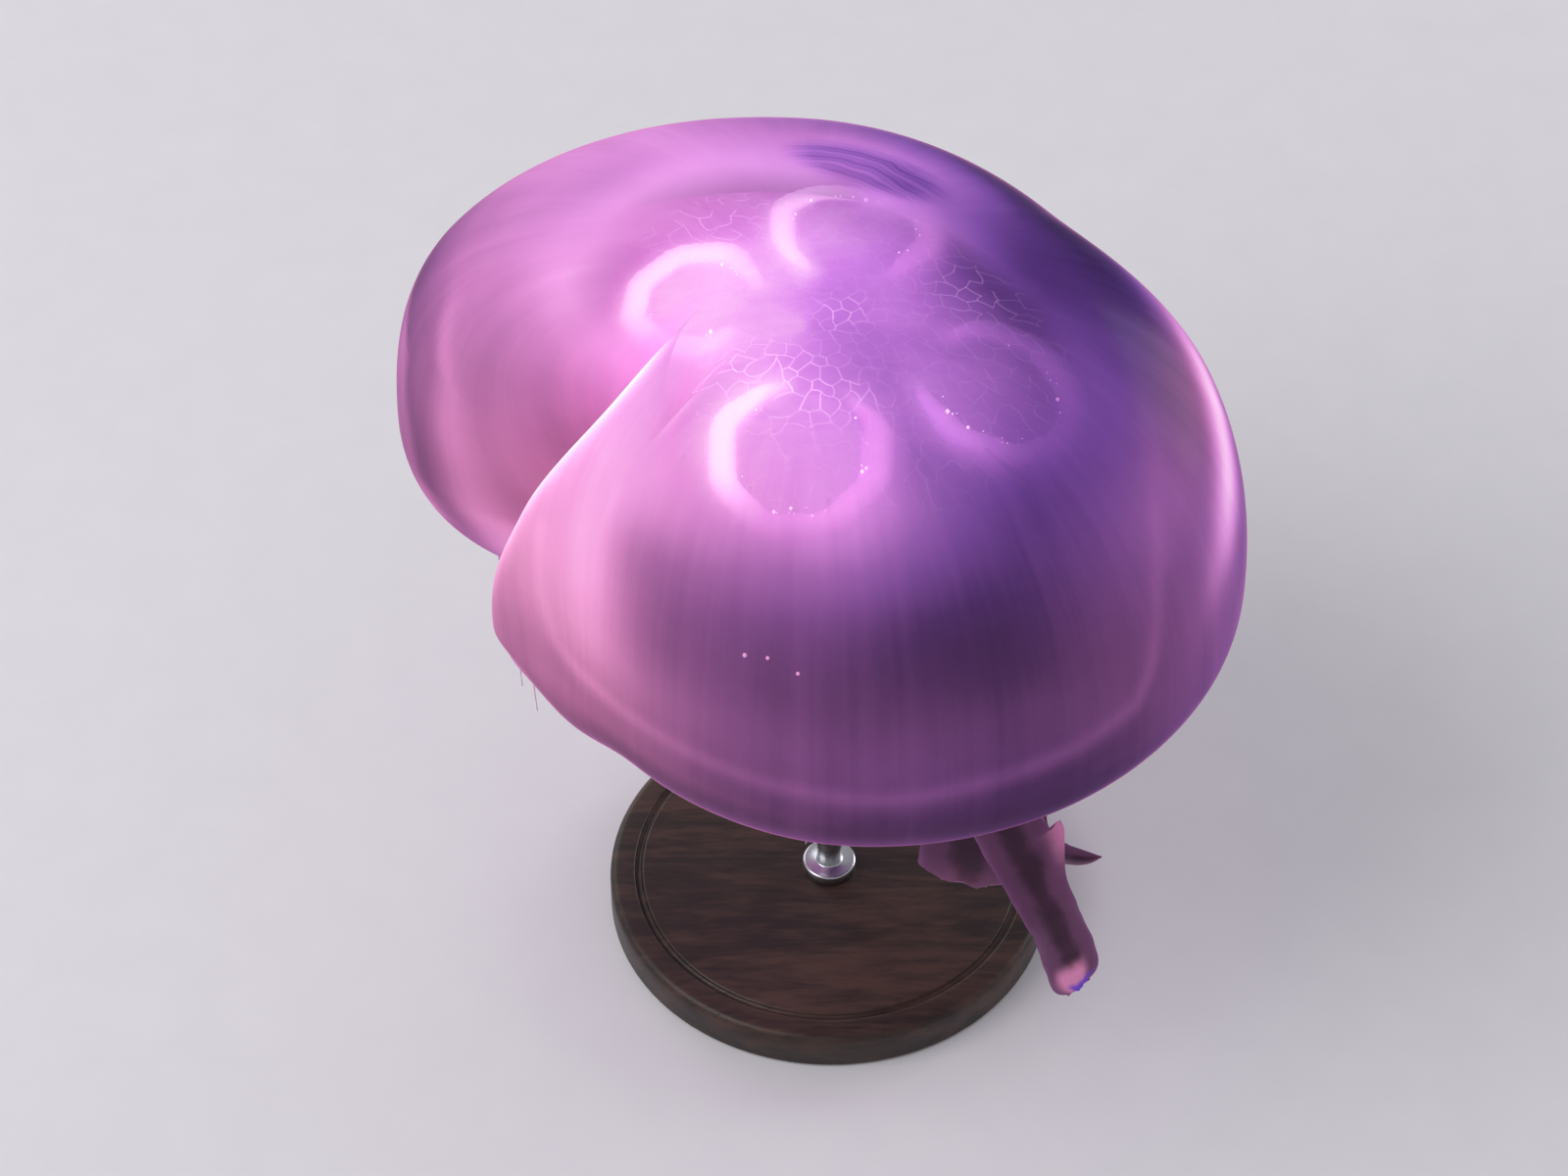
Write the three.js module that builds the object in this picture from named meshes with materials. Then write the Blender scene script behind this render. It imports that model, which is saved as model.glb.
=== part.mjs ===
// A moon jelly (Aurelia) at life size, caught while its bell squeezes, on a plain display stand.
// Millimetres, +Z up. The origin is the middle of the stand's underside, below the animal's mouth.
import * as THREE from 'three';

// ---- Driving dimensions ---------------------------------------------------------------------
const GIRTH = 105;              // mean radius of the bell at its widest ring
const GIRTH_Z = 150;            // height of that ring above the floor
const BELL_X = -7;              // the bell's axis stands a little to the left of the mouth,
const BELL_Y = 1.5;             // because the squeeze is uneven
const GAP = 0.3;                // clearance between neighbouring solids
const HALF_CUT = 0.18;          // half of the cut between two pieces of the bell

// Profiles of the bell, as shares of GIRTH. An angle of 0 is the apex and 90 is the girth;
// past 90 the wall curls in below, towards the margin.
const OUTSIDE = { radius: 1.0, height: 0.882, fullness: 0.08, curlIn: 0.2, curlDown: 0.24, end: 202 };
const INSIDE = { radius: 0.85, height: 0.711, fullness: 0.08, curlIn: 0.167, curlDown: 0.21, end: 160 };

// How far the bell reaches in nine directions round its axis, as shares of GIRTH.
const REACH = [
  [5, 1.049], [35, 0.867], [92, 0.941], [148, 1.166], [180, 0.912],
  [211, 0.774], [242, 0.849], [278, 0.984], [329, 1.101],
];

// The deep fold that runs from the crown down the left side to the margin.
const FOLD_LINE = [[10, 202], [37, 208], [62, 199], [90, 190], [202, 188]];   // [profile angle, azimuth]
const FOLD_AZIMUTH = 199;       // middle of that line
const FOLD_SWAY = 32;           // degrees over which grid lines swing back from the fold line
const FOLD_DEPTH = 0.42;        // share of GIRTH
const FOLD_STARTS = 10;         // profile angles between which the fold deepens
const FOLD_FULL = 50;
const FOLD_NEAR = 9;            // half width on the front side, degrees of azimuth
const FOLD_FAR = [15, 11];      // half width on the back side, at the crown and at the girth
const FOLD_LIP = 0.08;          // swelling of the front lobe beside the fold, share of GIRTH
const FOLD_LIP_AT = 17;
const FOLD_LIP_WIDTH = 14;
const FOLD_INSIDE = 0.85;       // share of the fold that shows on the inner wall

// Division of the bell into a crown and eight lobes.
const CROWN_EDGE = 34;          // profile angle of the cut round the crown
const LOBES = 8;
const FIRST_LOBE = 165;         // azimuth where the lobe with the fold begins
const LOBE_COLUMNS = [18, 12, 5, 5, 5, 5, 5, 5];
const LOBE_ROWS = 12;
const ROW_CROWDING = 1.3;       // rows stand closer together near the crown
const CROWN_ROWS = 4;

// Horseshoe gonads under the crown.
const GONADS = [                // azimuth and distance of each ring's middle from the mouth's axis
  [157, 38.5], [83, 43], [338, 43], [256, 39.5],
];
const GONAD_RING = 16.5;
const GONAD_TUBE = 4.5;
const GONAD_SPAN = 286;         // degrees of ring; the open side faces the mouth
const GONAD_DROP = 5.9;         // from the crown's underside to the tube's middle

// Mouth, a short square stalk with four corners.
const MOUTH_BOTTOM = 30;        // above the girth
const MOUTH_NECK = 11;
const MOUTH_LIP = 15;
const MOUTH_CORNER = 0.22;      // how far the corners stand out, share of the radius

// Oral arms: folded ribbons that hang from the mouth's corners and stream to the front right.
// tip is measured from the mouth's axis at girth height; end is the direction at the tip.
const ARM_ROOT = 12.5;
const ARM_DROP = 52;            // length of the straight pull at the root
const ARMS = [
  { name: 'oral_arm_1', azimuth: 297, tip: [64, -72, -100], end: [0.28, -0.30, -0.91], pull: 46,
    widths: [11, 26, 22, 15], gutter: 0.55, waves: 5 },
  { name: 'oral_arm_2', azimuth: 31, tip: [70, -54, -71], end: [0.72, -0.40, -0.56], pull: 40,
    widths: [11, 22, 16, 4], gutter: 0.6, waves: 5 },
  { name: 'oral_arm_3', azimuth: 207, tip: [41, -60, -77], end: [0.62, -0.58, -0.53], pull: 44,
    widths: [11, 22, 23, 12], gutter: 0.45, waves: 6 },
  { name: 'oral_arm_4', azimuth: 120, tip: [34, 18, -92], end: [0.35, 0.0, -0.94], pull: 44,
    widths: [11, 24, 18, 7], gutter: 0.55, waves: 5 },
];
const ARM_MID_THICK = 3.6;
const ARM_EDGE_THICK = 1.2;
const ARM_RUFFLE = 2.4;
const ARM_ROWS = 9;             // per length
const ARM_COLUMNS = 6;

// Fringe of short tentacles at the margin, one curtain to each lobe.
const FRINGE_LENGTH = 24;
const FRINGE_INWARD = 9;
const FRINGE_THICK = 1.2;
const FRINGE_TIP = 0.7;
const FRINGE_TEETH = 9;
const FRINGE_CLEAR = 0.9;       // from the margin's edge to the curtain
const FRINGE_RISE = 1.5;        // how far the curtain reaches up behind the edge
const FRINGE_NOTCH = 0.55;      // where the spaces between the teeth end, share of the length

// Stand.
const BASE_RADIUS = 62;
const BASE_HEIGHT = 12;
const BASE_EDGE = 1.5;
const ROD_RADIUS = 3.5;

// ---- Materials ------------------------------------------------------------------------------
const material = (color, roughness, metalness = 0, opacity = 1) =>
  new THREE.MeshStandardMaterial({ color, roughness, metalness, opacity, transparent: opacity < 1 });
const gel = material(0xc98bd0, 0.25, 0, 0.7);
const gonad = material(0xffd9f4, 0.45);
const mouthFlesh = material(0xb070bc, 0.4);
const armFlesh = material(0x6b3f66, 0.4);
const fringe = material(0xd9a8d4, 0.5);
const darkWood = material(0x2b2422, 0.45);
const steel = material(0xb8babd, 0.3, 1);

// ---- Small sums -----------------------------------------------------------------------------
const rad = THREE.MathUtils.degToRad;
const smooth = THREE.MathUtils.smoothstep;            // (x, from, to)
const mix = THREE.MathUtils.lerp;
const turn = (angle) => THREE.MathUtils.euclideanModulo(angle + 180, 360) - 180;

// Cubic through [x, y] knots; slopes come from the neighbours on both sides.
function through(knots, x) {
  let i = 1;
  while (i < knots.length - 1 && x > knots[i][0]) i += 1;
  const [x0, y0] = knots[i - 1];
  const [x1, y1] = knots[i];
  const slope = (k) => {
    const [xa, ya] = knots[Math.max(k - 1, 0)];
    const [xb, yb] = knots[Math.min(k + 1, knots.length - 1)];
    return (yb - ya) / (xb - xa);
  };
  const h = x1 - x0;
  const s = THREE.MathUtils.clamp((x - x0) / h, 0, 1);
  return (2 * s ** 3 - 3 * s ** 2 + 1) * y0 + (s ** 3 - 2 * s ** 2 + s) * h * slope(i - 1)
    + (3 * s ** 2 - 2 * s ** 3) * y1 + (s ** 3 - s ** 2) * h * slope(i);
}

const REACH_ROUND = [-2, -1, 0, 1, 2, 3, 4, 5, 6, 7, 8, 9, 10].map((k) => {
  const [azimuth, reach] = REACH[THREE.MathUtils.euclideanModulo(k, REACH.length)];
  return [azimuth + 360 * Math.floor(k / REACH.length), reach];
});
const reach = (azimuth) => through(REACH_ROUND, THREE.MathUtils.euclideanModulo(azimuth, 360));

// ---- The bell's two walls -------------------------------------------------------------------
// Depth of the fold, in shares of GIRTH, at a profile angle and an azimuth.
function fold(angle, azimuth) {
  const side = turn(azimuth - through(FOLD_LINE, angle));
  const width = side > 0 ? FOLD_NEAR : mix(FOLD_FAR[0], FOLD_FAR[1], smooth(angle, 55, 90));
  const valley = FOLD_DEPTH * Math.exp(-((Math.abs(side) / width) ** 2.2));
  const lip = FOLD_LIP * Math.exp(-(((side - FOLD_LIP_AT) / FOLD_LIP_WIDTH) ** 2));
  return smooth(angle, FOLD_STARTS, FOLD_FULL) * (valley - lip);
}

// Point [distance from the axis, height above the girth] of a wall. The profile is a full dome
// above the girth and a quarter turn inward below it; reach() spreads it, and fold() pushes it
// towards the axis, level at the girth and below.
function wallProfile(wall, angle, azimuth, foldShare) {
  const up = Math.min(angle, 90);
  const past = rad(Math.max(angle - 90, 0));
  const full = 1 + wall.fullness * Math.sin(rad(2 * up)) ** 2;
  const spread = 1 + (reach(azimuth) - 1) * Math.sin(rad(up)) ** 1.2;
  const push = foldShare * fold(angle, azimuth);
  const across = (wall.radius * Math.sin(rad(up)) * full - wall.curlIn * (1 - Math.cos(past))) * spread;
  const height = wall.height * Math.cos(rad(up)) * full - wall.curlDown * Math.sin(past);
  return [GIRTH * (across - push * Math.sin(rad(up))), GIRTH * (height - push * Math.cos(rad(up)))];
}
const outside = (angle, azimuth) => wallProfile(OUTSIDE, angle, azimuth, 1);
const inside = (angle, azimuth) =>
  wallProfile(INSIDE, angle, azimuth, mix(FOLD_INSIDE, 1, smooth(angle, 90, INSIDE.end)));

function place([across, height], azimuth) {
  return new THREE.Vector3(
    BELL_X + across * Math.cos(rad(azimuth)), BELL_Y + across * Math.sin(rad(azimuth)), GIRTH_Z + height);
}

// Height of the bell's inner wall above the floor, over the point x, y.
function ceiling(x, y) {
  const azimuth = THREE.MathUtils.radToDeg(Math.atan2(y - BELL_Y, x - BELL_X));
  const distance = Math.hypot(x - BELL_X, y - BELL_Y);
  let low = 0;
  let high = 80;
  for (let k = 0; k < 40; k += 1) {
    const middle = (low + high) / 2;
    if (inside(middle, azimuth)[0] < distance) low = middle; else high = middle;
  }
  return GIRTH_Z + inside(low, azimuth)[1];
}

// The cuts and grid lines near the fold run along it: an azimuth is shifted as the fold line is.
function follow(azimuth, angle) {
  const near = Math.exp(-((turn(azimuth - FOLD_AZIMUTH) / FOLD_SWAY) ** 2));
  return azimuth + (through(FOLD_LINE, angle) - FOLD_AZIMUTH) * near;
}

// ---- Closed bodies from grids ---------------------------------------------------------------
function body(points, triangles) {
  const geometry = new THREE.BufferGeometry().setFromPoints(points);
  geometry.setIndex(triangles.flat());
  geometry.computeVertexNormals();
  return geometry;
}

// Block of rows x columns, one layer thick. at(row, column, layer) gives its points; the layers
// are 0 for the face whose rows, then columns, turn left seen from outside, and 1 for the other.
function block(rows, columns, at) {
  const points = [];
  const index = (i, j, layer) => (i * (columns + 1) + j) * 2 + layer;
  for (let i = 0; i <= rows; i += 1) {
    for (let j = 0; j <= columns; j += 1) points.push(at(i, j, 0), at(i, j, 1));
  }
  const triangles = [];
  const quad = (a, b, c, d) => triangles.push([a, b, c], [a, c, d]);
  for (let i = 0; i < rows; i += 1) {
    for (let j = 0; j < columns; j += 1) {
      quad(index(i, j, 0), index(i + 1, j, 0), index(i + 1, j + 1, 0), index(i, j + 1, 0));
      quad(index(i, j, 1), index(i, j + 1, 1), index(i + 1, j + 1, 1), index(i + 1, j, 1));
    }
  }
  for (let j = 0; j < columns; j += 1) {
    quad(index(0, j, 0), index(0, j + 1, 0), index(0, j + 1, 1), index(0, j, 1));
    quad(index(rows, j, 1), index(rows, j + 1, 1), index(rows, j + 1, 0), index(rows, j, 0));
  }
  for (let i = 0; i < rows; i += 1) {
    quad(index(i, 0, 0), index(i, 0, 1), index(i + 1, 0, 1), index(i + 1, 0, 0));
    quad(index(i, columns, 0), index(i + 1, columns, 0), index(i + 1, columns, 1), index(i, columns, 1));
  }
  return body(points, triangles);
}

// Round-sided body: a stack of closed rings between two end points. ring(i, k) gives the points,
// anticlockwise seen from the first end.
function stack(rings, sides, ring, first, last) {
  const points = [first];
  for (let i = 0; i < rings; i += 1) {
    for (let k = 0; k < sides; k += 1) points.push(ring(i, k));
  }
  points.push(last);
  const index = (i, k) => 1 + i * sides + (k % sides);
  const triangles = [];
  for (let k = 0; k < sides; k += 1) {
    triangles.push([0, index(0, k), index(0, k + 1)]);
    triangles.push([points.length - 1, index(rings - 1, k + 1), index(rings - 1, k)]);
    for (let i = 0; i < rings - 1; i += 1) {
      triangles.push([index(i, k), index(i + 1, k), index(i + 1, k + 1)]);
      triangles.push([index(i, k), index(i + 1, k + 1), index(i, k + 1)]);
    }
  }
  return body(points, triangles);
}

const group = new THREE.Group();
function add(name, geometry, look) {
  const mesh = new THREE.Mesh(geometry, look);
  mesh.name = name;
  group.add(mesh);
  return mesh;
}

// ---- Bell -----------------------------------------------------------------------------------
const LOBE_ANGLE = 360 / LOBES;
const crownAzimuths = [];
for (let lobe = 0; lobe < LOBES; lobe += 1) {
  for (let j = 0; j < LOBE_COLUMNS[lobe]; j += 1) {
    crownAzimuths.push(FIRST_LOBE + LOBE_ANGLE * (lobe + j / LOBE_COLUMNS[lobe]));
  }
}
const cutAngle = THREE.MathUtils.radToDeg(HALF_CUT / GIRTH);

// Crown: the thick cap over the stomach, a closed lens between the two walls.
function crown() {
  const edge = CROWN_EDGE - cutAngle;
  const rings = 2 * CROWN_ROWS;
  const ring = (i, k) => {
    const wall = i < CROWN_ROWS ? outside : inside;
    const angle = edge * Math.min(i + 1, rings - i) / CROWN_ROWS;
    const azimuth = follow(crownAzimuths[k], angle);
    return place(wall(angle, azimuth), azimuth);
  };
  return stack(rings, crownAzimuths.length, ring, place(outside(0, 0), 0), place(inside(0, 0), 0));
}
add('bell_crown', crown(), gel);

// Lobes: eight staves of the bell's wall, from the crown's edge to the thin margin.
function lobe(number) {
  const columns = LOBE_COLUMNS[number];
  const from = FIRST_LOBE + LOBE_ANGLE * number;
  return block(LOBE_ROWS, columns, (i, j, layer) => {
    const wall = layer === 0 ? outside : inside;
    const end = layer === 0 ? OUTSIDE.end : INSIDE.end;
    const angle = mix(CROWN_EDGE + cutAngle, end, (i / LOBE_ROWS) ** ROW_CROWDING);
    let azimuth = follow(from + LOBE_ANGLE * j / columns, angle);
    const cut = THREE.MathUtils.radToDeg(HALF_CUT / wall(angle, azimuth)[0]);
    if (j === 0) azimuth += cut;
    if (j === columns) azimuth -= cut;
    return place(wall(angle, azimuth), azimuth);
  });
}
for (let number = 0; number < LOBES; number += 1) {
  add(`bell_lobe_${number + 1}`, lobe(number), gel);
}

// ---- Tentacle fringe ------------------------------------------------------------------------
// A thin curtain inside each lobe's margin whose lower edge is cut into pointed teeth.
function curtain(number) {
  const columns = 2 * FRINGE_TEETH;
  const from = FIRST_LOBE + LOBE_ANGLE * number;
  return block(1, columns, (i, j, layer) => {
    const azimuth = follow(from + mix(0.4, LOBE_ANGLE - 0.4, j / columns), OUTSIDE.end);
    const rim = outside(OUTSIDE.end, azimuth);
    const down = i * (j % 2 === 1 ? 1 : FRINGE_NOTCH);
    const thick = mix(FRINGE_THICK, FRINGE_TIP, i);
    const across = rim[0] - FRINGE_CLEAR - FRINGE_INWARD * down - (layer === 0 ? 0 : thick);
    return place([across, rim[1] + FRINGE_RISE - FRINGE_LENGTH * down], azimuth);
  });
}
for (let number = 0; number < LOBES; number += 1) {
  add(`tentacle_fringe_${number + 1}`, curtain(number), fringe);
}

// ---- Gonads ---------------------------------------------------------------------------------
// Horseshoe tubes that follow the crown's underside, open towards the mouth.
function horseshoe(azimuth, distance) {
  const rings = 19;
  const sides = 8;
  const centre = new THREE.Vector2(distance * Math.cos(rad(azimuth)), distance * Math.sin(rad(azimuth)));
  const path = (share, offset = 0) => {
    const angle = rad(azimuth + GONAD_SPAN * (share - 0.5));
    const x = centre.x + (GONAD_RING + offset) * Math.cos(angle);
    const y = centre.y + (GONAD_RING + offset) * Math.sin(angle);
    return new THREE.Vector3(x, y, ceiling(x, y) - GONAD_DROP);
  };
  const swell = (share) => GONAD_TUBE * Math.min(1, 0.45 + 3 * Math.sin(Math.PI * share));
  const ring = (i, k) => {
    const share = 0.03 + 0.94 * i / (rings - 1);
    const round = 2 * Math.PI * k / sides;
    const middle = path(share);
    const side = path(share, 1).sub(path(share, -1)).normalize();
    const along = path(share + 0.01).sub(path(share - 0.01)).normalize();
    const up = side.clone().cross(along).negate();
    return middle.addScaledVector(side, swell(share) * Math.cos(round))
      .addScaledVector(up, -0.8 * swell(share) * Math.sin(round));
  };
  return stack(rings, sides, ring, path(0), path(1));
}
GONADS.forEach(([azimuth, distance], k) => add(`gonad_${k + 1}`, horseshoe(azimuth, distance), gonad));

// ---- Mouth ----------------------------------------------------------------------------------
// A square-cornered stalk from the crown's underside to the roots of the arms.
function mouth() {
  const rings = 6;
  const sides = 24;
  const bottom = GIRTH_Z + MOUTH_BOTTOM;
  const ring = (i, k) => {
    const azimuth = 360 * k / sides;
    const share = i / (rings - 1);
    const radius = mix(MOUTH_NECK, MOUTH_LIP, share ** 2) * (1 + 0.35 * (1 - share) ** 3)
      * (1 + MOUTH_CORNER * Math.cos(rad(4 * (azimuth - ARMS[0].azimuth))));
    const x = radius * Math.cos(rad(azimuth));
    const y = radius * Math.sin(rad(azimuth));
    return new THREE.Vector3(x, y, mix(ceiling(x, y) - 2 * GAP, bottom, share));
  };
  return stack(rings, sides, ring, new THREE.Vector3(0, 0, ceiling(0, 0) - 2 * GAP),
    new THREE.Vector3(0, 0, bottom));
}
add('mouth', mouth(), mouthFlesh);

// ---- Oral arms ------------------------------------------------------------------------------
// A gutter-shaped ribbon with ruffled edges along a cubic curve, in an upper and a lower length.
function armLength(arm, from, to) {
  const out = new THREE.Vector3(Math.cos(rad(arm.azimuth)), Math.sin(rad(arm.azimuth)), 0);
  const root = out.clone().multiplyScalar(ARM_ROOT).setZ(GIRTH_Z + MOUTH_BOTTOM - GAP);
  const tip = new THREE.Vector3(arm.tip[0], arm.tip[1], GIRTH_Z + arm.tip[2]);
  const end = new THREE.Vector3(...arm.end).normalize();
  const curve = new THREE.CubicBezierCurve3(root, root.clone().add(new THREE.Vector3(0, 0, -ARM_DROP)),
    tip.clone().addScaledVector(end, -arm.pull), tip);
  const widths = arm.widths.map((width, k) => [k / (arm.widths.length - 1), width]);
  return block(ARM_ROWS, ARM_COLUMNS, (i, j, layer) => {
    const share = mix(from, to, i / ARM_ROWS);
    const across = 2 * j / ARM_COLUMNS - 1;
    const along = curve.getTangent(share);
    const side = new THREE.Vector3().crossVectors(out, along).normalize();
    const face = new THREE.Vector3().crossVectors(along, side);
    const half = through(widths, share) / 2;
    const thick = mix(ARM_MID_THICK, ARM_EDGE_THICK, Math.abs(across)) * Math.min(1, 0.35 + 4 * (1 - share));
    const wave = Math.sin(2 * Math.PI * arm.waves * share + (across > 0 ? 1.3 : 0));
    const lift = arm.gutter * half * Math.abs(across) ** 1.6 * smooth(share, 0, 0.2)
      + ARM_RUFFLE * wave * Math.abs(across) ** 3 * smooth(share, 0.08, 0.3) * Math.min(1, half / 6);
    return curve.getPoint(share).addScaledVector(side, half * across)
      .addScaledVector(face, lift + thick * (layer === 0 ? 0.5 : -0.5));
  });
}
for (const arm of ARMS) {
  add(`${arm.name}_upper`, armLength(arm, 0, 0.5 - 0.0015), armFlesh);
  add(`${arm.name}_lower`, armLength(arm, 0.5 + 0.0015, 1), armFlesh);
}

// ---- Display stand --------------------------------------------------------------------------
// A round wooden base with a softened top edge, and one steel rod up to the mouth.
const baseProfile = [
  new THREE.Vector2(0, 0), new THREE.Vector2(BASE_RADIUS, 0),
  new THREE.Vector2(BASE_RADIUS, BASE_HEIGHT - BASE_EDGE),
  new THREE.Vector2(BASE_RADIUS - BASE_EDGE, BASE_HEIGHT), new THREE.Vector2(0, BASE_HEIGHT),
];
const base = add('stand_base', new THREE.LatheGeometry(baseProfile, 48), darkWood);
base.rotation.x = Math.PI / 2;
const rodLength = GIRTH_Z + MOUTH_BOTTOM - BASE_HEIGHT - 2 * GAP;
const rod = add('stand_rod', new THREE.CylinderGeometry(ROD_RADIUS, ROD_RADIUS, rodLength, 16), steel);
rod.rotation.x = Math.PI / 2;
rod.position.z = BASE_HEIGHT + GAP + rodLength / 2;

export default group;
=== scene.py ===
import math
from collections import namedtuple

import bpy
import numpy as np
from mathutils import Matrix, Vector


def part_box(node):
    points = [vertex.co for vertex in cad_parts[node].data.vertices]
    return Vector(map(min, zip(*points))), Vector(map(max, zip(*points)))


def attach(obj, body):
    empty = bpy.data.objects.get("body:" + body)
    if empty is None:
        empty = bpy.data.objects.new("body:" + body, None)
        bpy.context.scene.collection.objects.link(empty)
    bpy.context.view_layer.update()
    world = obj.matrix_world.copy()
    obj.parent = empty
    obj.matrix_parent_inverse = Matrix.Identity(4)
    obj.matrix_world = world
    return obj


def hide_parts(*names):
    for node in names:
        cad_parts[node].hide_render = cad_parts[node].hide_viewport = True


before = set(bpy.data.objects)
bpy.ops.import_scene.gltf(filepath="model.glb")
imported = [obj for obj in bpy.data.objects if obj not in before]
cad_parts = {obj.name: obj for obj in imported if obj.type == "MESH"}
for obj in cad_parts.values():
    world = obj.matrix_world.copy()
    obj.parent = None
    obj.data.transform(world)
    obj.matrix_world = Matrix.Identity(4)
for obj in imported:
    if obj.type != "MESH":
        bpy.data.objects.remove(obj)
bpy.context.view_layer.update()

# ---- Display stand --------------------------------------------------------------------------
# The base is a disc of dark oiled wood, turned on a lathe, with a softened edge and one shallow
# groove. A polished steel rod stands in its middle in a small collar and carries the animal at
# its mouth; the collar is pressed on the rod and pinned to the wood from below.


class Wire:
    """A socket in a material's nodes. Sums on it add Math nodes, and node() adds any other node."""

    def __init__(self, tree, socket=None):
        self.tree = tree
        self.socket = socket

    def node(self, kind, settings=None, inputs=None, output=0):
        """Adds a node of that kind: first its settings, then the values or wires of its sockets."""
        made = self.tree.nodes.new(kind)
        for name, value in (settings or {}).items():
            if name == "stops":
                ramp = made.color_ramp
                ramp.elements[0].position, ramp.elements[1].position = value[0][0], value[-1][0]
                for place, _ in value[1:-1]:
                    ramp.elements.new(place)
                for element, (_, shade) in zip(ramp.elements, value):
                    element.color = shade
            else:
                setattr(made, name, value)
        for name, value in (inputs or {}).items():
            if isinstance(value, Wire):
                self.tree.links.new(value.socket, made.inputs[name])
            else:
                made.inputs[name].default_value = value
        return Wire(self.tree, made.outputs[output])

    def math(self, operation, *values):
        return self.node("ShaderNodeMath", {"operation": operation}, dict(enumerate(values)))

    def __add__(self, other):
        return self.math("ADD", self, other)

    def __sub__(self, other):
        return self.math("SUBTRACT", self, other)

    def __rsub__(self, other):
        return self.math("SUBTRACT", other, self)

    def __mul__(self, other):
        return self.math("MULTIPLY", self, other)

    def __pow__(self, other):
        return self.math("POWER", self, other)

    __radd__ = __add__
    __rmul__ = __mul__

    def smooth(self, start, end):
        """0 below start and 1 above end, with a soft step between them."""
        ends = {"From Min": start, "From Max": end}
        return self.node("ShaderNodeMapRange", {"interpolation_type": "SMOOTHSTEP"}, {0: self, **ends})

    def blend(self, none, full):
        """A colour between two others, with this value as the share of the second."""
        return self.node("ShaderNodeMix", {"data_type": "RGBA"}, {0: self, 6: none, 7: full}, 2)

    def attribute(self, name):
        return self.node("ShaderNodeAttribute", {"attribute_name": name}, output=2)

    def place(self, scale=(1.0, 1.0, 1.0)):
        """The point of the object that is being coloured, in metres, stretched by scale."""
        point = self.node("ShaderNodeTexCoord", output=3)
        return self.node("ShaderNodeMapping", {}, {"Vector": point, "Scale": scale})

    def noise(self, where, scale, detail=3.0, roughness=0.5, distortion=0.0):
        settings = {"Scale": scale, "Detail": detail, "Roughness": roughness, "Distortion": distortion}
        return self.node("ShaderNodeTexNoise", {}, {"Vector": where, **settings})

    def into(self, *sockets):
        """Feeds sockets of the shader."""
        for socket in sockets:
            self.tree.links.new(self.socket, self.tree.nodes["Principled BSDF"].inputs[socket])

    def relief(self, strength, distance):
        """Takes the value as a height and tilts the surface by it."""
        inputs = {"Strength": strength, "Distance": distance, "Height": self}
        self.node("ShaderNodeBump", {}, inputs).into("Normal")


def finish(name, **constants):
    """A new material with the shader's constant sockets set, and the wire that its nodes start from."""
    material = bpy.data.materials.new(name)
    material.use_nodes = True
    shader = material.node_tree.nodes["Principled BSDF"]
    for socket, value in constants.items():
        shader.inputs[socket.replace("_", " ")].default_value = value
    return material, Wire(material.node_tree)


def tint(red, green, blue):
    """A screen colour of three numbers up to 255, as the linear colour that a socket takes."""
    screen = np.array([red, green, blue]) / 255
    linear = np.where(screen < 0.04045, screen / 12.92, ((screen + 0.055) / 1.055) ** 2.4)
    return (*linear.tolist(), 1.0)


def make_piece(name, points, faces, materials, material_of_face=None, **attributes):
    """A smooth mesh object from an array of points and a list of arrays of faces, each of one size."""
    points = np.asarray(points, dtype=np.float32).reshape(-1, 3)
    corners = np.concatenate([group.ravel() for group in faces]).astype(np.int32)
    sizes = np.concatenate([np.full(len(group), group.shape[1]) for group in faces])
    mesh = bpy.data.meshes.new(name)
    mesh.vertices.add(len(points))
    mesh.vertices.foreach_set("co", points.ravel())
    mesh.loops.add(len(corners))
    mesh.loops.foreach_set("vertex_index", corners)
    mesh.polygons.add(len(sizes))
    mesh.polygons.foreach_set("loop_start", (np.cumsum(sizes) - sizes).astype(np.int32))
    for material in materials:
        mesh.materials.append(material)
    if material_of_face is not None:
        mesh.polygons.foreach_set("material_index", np.asarray(material_of_face, dtype=np.int32))
    mesh.update(calc_edges=True)
    mesh.shade_smooth()
    for label, values in attributes.items():
        layer = mesh.attributes.new(label, "FLOAT", "POINT")
        layer.data.foreach_set("value", np.asarray(values, dtype=np.float32).ravel())
    made = bpy.data.objects.new(name, mesh)
    bpy.context.scene.collection.objects.link(made)
    return made


def closed_faces(rings, sides, turned_over=False):
    """Faces of a stack of closed rings of points: each ring is joined to the next and round to its
    start, and each end ring to one point. Those two points follow the last ring, the first ring's
    point first. Turned over, every face goes round the other way."""
    ring = np.arange(rings - 1)[:, None] * sides
    side = np.arange(sides)
    after = (side + 1) % sides
    quads = [ring + side, ring + after, ring + sides + after, ring + sides + side]
    pair = (side, after)
    if turned_over:
        quads, pair = quads[::-1], pair[::-1]
    last = (rings - 1) * sides
    return [
        np.stack(quads, axis=-1).reshape(-1, 4),
        np.stack([pair[1], pair[0], np.full(sides, rings * sides)], axis=-1),
        np.stack([last + pair[0], last + pair[1], np.full(sides, rings * sides + 1)], axis=-1),
    ]


def turned(profile, sides=128):
    """A profile of (radius, height) points carried round the z axis; its two ends lie on the axis."""
    profile = np.asarray(profile, dtype=float)
    turn = np.linspace(0, 2 * math.pi, sides, endpoint=False)
    body = profile[1:-1]
    across = body[:, None, 0]
    points = np.stack(
        [across * np.cos(turn), across * np.sin(turn), body[:, None, 1] + 0 * turn], axis=-1
    ).reshape(-1, 3)
    ends = [[0, 0, profile[0, 1]], [0, 0, profile[-1, 1]]]
    return np.concatenate([points, ends]), closed_faces(len(body), sides)


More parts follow.
